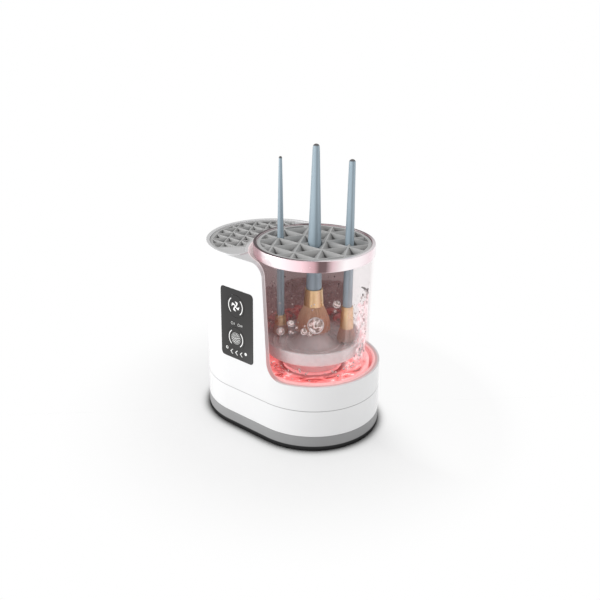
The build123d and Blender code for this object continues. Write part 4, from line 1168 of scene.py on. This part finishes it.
def blob(bm, centre, radius, stretch, subdivisions, seed, lump):
    """Icosphere with an uneven skin, pushed inwards where the cup wall would stop it."""
    made = bmesh.ops.create_icosphere(bm, subdivisions=subdivisions, radius=1.0)
    for vert in made["verts"]:
        way = vert.co.normalized()
        reach = radius * (1 + lump * noise.noise(way * 1.7 + Vector((seed, seed * 2, 0))))
        point = Vector(centre) + Vector((way.x * reach, way.y * reach,
                                         way.z * reach * stretch))
        across = point.x - CUP_X
        from_axis = math.hypot(across, point.y)
        limit = cup_inner(max(INNER_FOOT[1], point.z)) - 0.45
        if from_axis > limit:
            point.x = CUP_X + across * limit / from_axis
            point.y = point.y * limit / from_axis
        vert.co = point * MM


def wall_drop(bm, rng, degrees, z, radius, wall, stretch, lump):
    """Drop sitting half sunk against a wall of the given radius."""
    reach = wall - radius * 0.5
    angle = math.radians(degrees)
    centre = (CUP_X + reach * math.cos(angle), reach * math.sin(angle), z)
    blob(bm, centre, radius, rng.uniform(*stretch), 2, rng.random() * 9, lump)


def scatter(bm, rng, groups, gap, stretch, lump):
    for count, draw, heading, heights, radii in groups:
        for _ in range(count):
            degrees = getattr(rng, draw)(*heading)
            z = rng.uniform(*heights)
            radius = rng.uniform(*radii)
            wall_drop(bm, rng, degrees, z, radius, cup_inner(z) - gap, stretch, lump)


def add_blobs(name, bm, material):
    mesh = bpy.data.meshes.new(name)
    bm.to_mesh(mesh)
    bm.free()
    shade_smooth(mesh)
    add_object(name, mesh, material, "cup")


def bubbles():
    bm = bmesh.new()
    for i, (x, y, z, radius) in enumerate(BUBBLES):
        blob(bm, (x, y, z), radius, stretch=1.0, subdivisions=4 if radius > 2 else 3,
             seed=i * 1.7, lump=0.05)
    add_blobs("wash_bubbles", bm, BUBBLE)


def droplets():
    bm = bmesh.new()
    scatter(bm, random.Random(23), DROPLETS, gap=0.4, stretch=(0.8, 1.4), lump=0.15)
    add_blobs("wash_droplets", bm, BUBBLE)


def dark_drops():
    bm = bmesh.new()
    rng = random.Random(41)
    for degrees, z, radius in DARK_MARKS:
        wall_drop(bm, rng, degrees, z, radius, cup_inner(max(63.0, z)) - 0.5,
                  stretch=(0.7, 1.6), lump=0.35)
    scatter(bm, rng, DARK_SCATTER, gap=0.5, stretch=(0.8, 1.9), lump=0.3)
    add_blobs("dark_liquid_drops", bm, DARK_DROP)


pool()
film()
swirl()
bubbles()
droplets()
dark_drops()


# ------------------------------------------------------------------ stage
def add_camera():
    """Camera on the +X -Y side, looking down at the washer."""
    right = (0.7620187, 0.64749714, 0.00865694)
    up = (-0.25538423, 0.28821474, 0.92288198)
    backward = (0.59506839, -0.70546418, 0.38498559)
    place = (0.38066781, -0.44189491, 0.34337092)
    data = bpy.data.cameras.new("camera")
    data.sensor_width = 36.0
    data.lens = 45.888
    data.clip_start = 0.01
    camera = bpy.data.objects.new("camera", data)
    scene.collection.objects.link(camera)
    camera.matrix_world = Matrix((*zip(right, up, backward, place), (0, 0, 0, 1)))
    scene.camera = camera


def add_world():
    """White behind the product, dimmer as ambient light."""
    world = bpy.data.worlds.new("studio")
    scene.world = world
    s = Shader(world, "OutputWorld")
    ambient = s.node("Background", {"Color": 1.0, "Strength": 0.50}).outputs[0]
    backdrop = s.node("Background", {"Color": 1.0, "Strength": 1.0}).outputs[0]
    seen = s.node("LightPath").outputs["Is Camera Ray"]
    s.finish(s.node("MixShader", {0: seen, 1: ambient, 2: backdrop}).outputs[0])


def area_light(name, place, target, size, power):
    """Square area light aimed at a target."""
    data = bpy.data.lights.new(name, "AREA")
    data.energy = power
    data.shape = "RECTANGLE"
    data.size = size
    data.size_y = size
    light = bpy.data.objects.new(name, data)
    scene.collection.objects.link(light)
    light.location = place
    aim = Vector(target) - Vector(place)
    light.rotation_euler = aim.to_track_quat("-Z", "Y").to_euler()


def floor_white():
    """Floor with a contact shade, fading to pure white away from the product and behind it."""
    s = new_material("floor_white")
    contact = s.node("AmbientOcclusion", {"Distance": 0.010}, samples=12).outputs["AO"]
    shade = s.ramp(contact, [(0.0, 0.0), (0.52, 0.02), (0.66, 0.46), (0.84, 0.88), (0.97, 1.0)])
    lit = s.principled(s.mix(1.0, shade, 0.93, "MULTIPLY"), rough=0.6, specular=0.1)
    glowing = s.node("Emission", {"Color": shade, "Strength": 1.0}).outputs[0]
    place = s.node("TexCoord").outputs["Object"]
    distance = s.node("VectorMath", {0: place}, operation="LENGTH").outputs["Value"]
    fade = s.remap(distance, (0.085, 0.21), (0.42, 1.0), curve="SMOOTHSTEP")
    x, y, _ = s.split(place)
    behind = s.smooth(s.math("ADD", y, s.times(x, 0.45)), 0.0, 0.09)
    glow = s.math("MAXIMUM", fade, s.times(behind, 0.90))
    return s.finish(s.node("MixShader", {0: glow, 1: lit, 2: glowing}).outputs[0])


def add_floor():
    half = 40.0
    mesh = bpy.data.meshes.new("floor")
    corners = [(-half, -half, 0), (half, -half, 0), (half, half, 0), (-half, half, 0)]
    mesh.from_pydata(corners, [], [(0, 1, 2, 3)])
    floor = bpy.data.objects.new("floor", mesh)
    scene.collection.objects.link(floor)
    mesh.materials.append(floor_white())


add_camera()
add_world()
area_light("key_left", place=(-0.62, -0.86, 0.42), target=(0, 0, 0.08), size=0.7, power=6.6)
area_light("top_soft", place=(0.05, 0.1, 1.1), target=(0, 0, 0.1), size=0.9, power=2.6)
area_light("fill_right", place=(0.9, -0.25, 0.5), target=(0, 0, 0.08), size=0.5, power=0.8)
scene.view_settings.view_transform = "Standard"
add_floor()
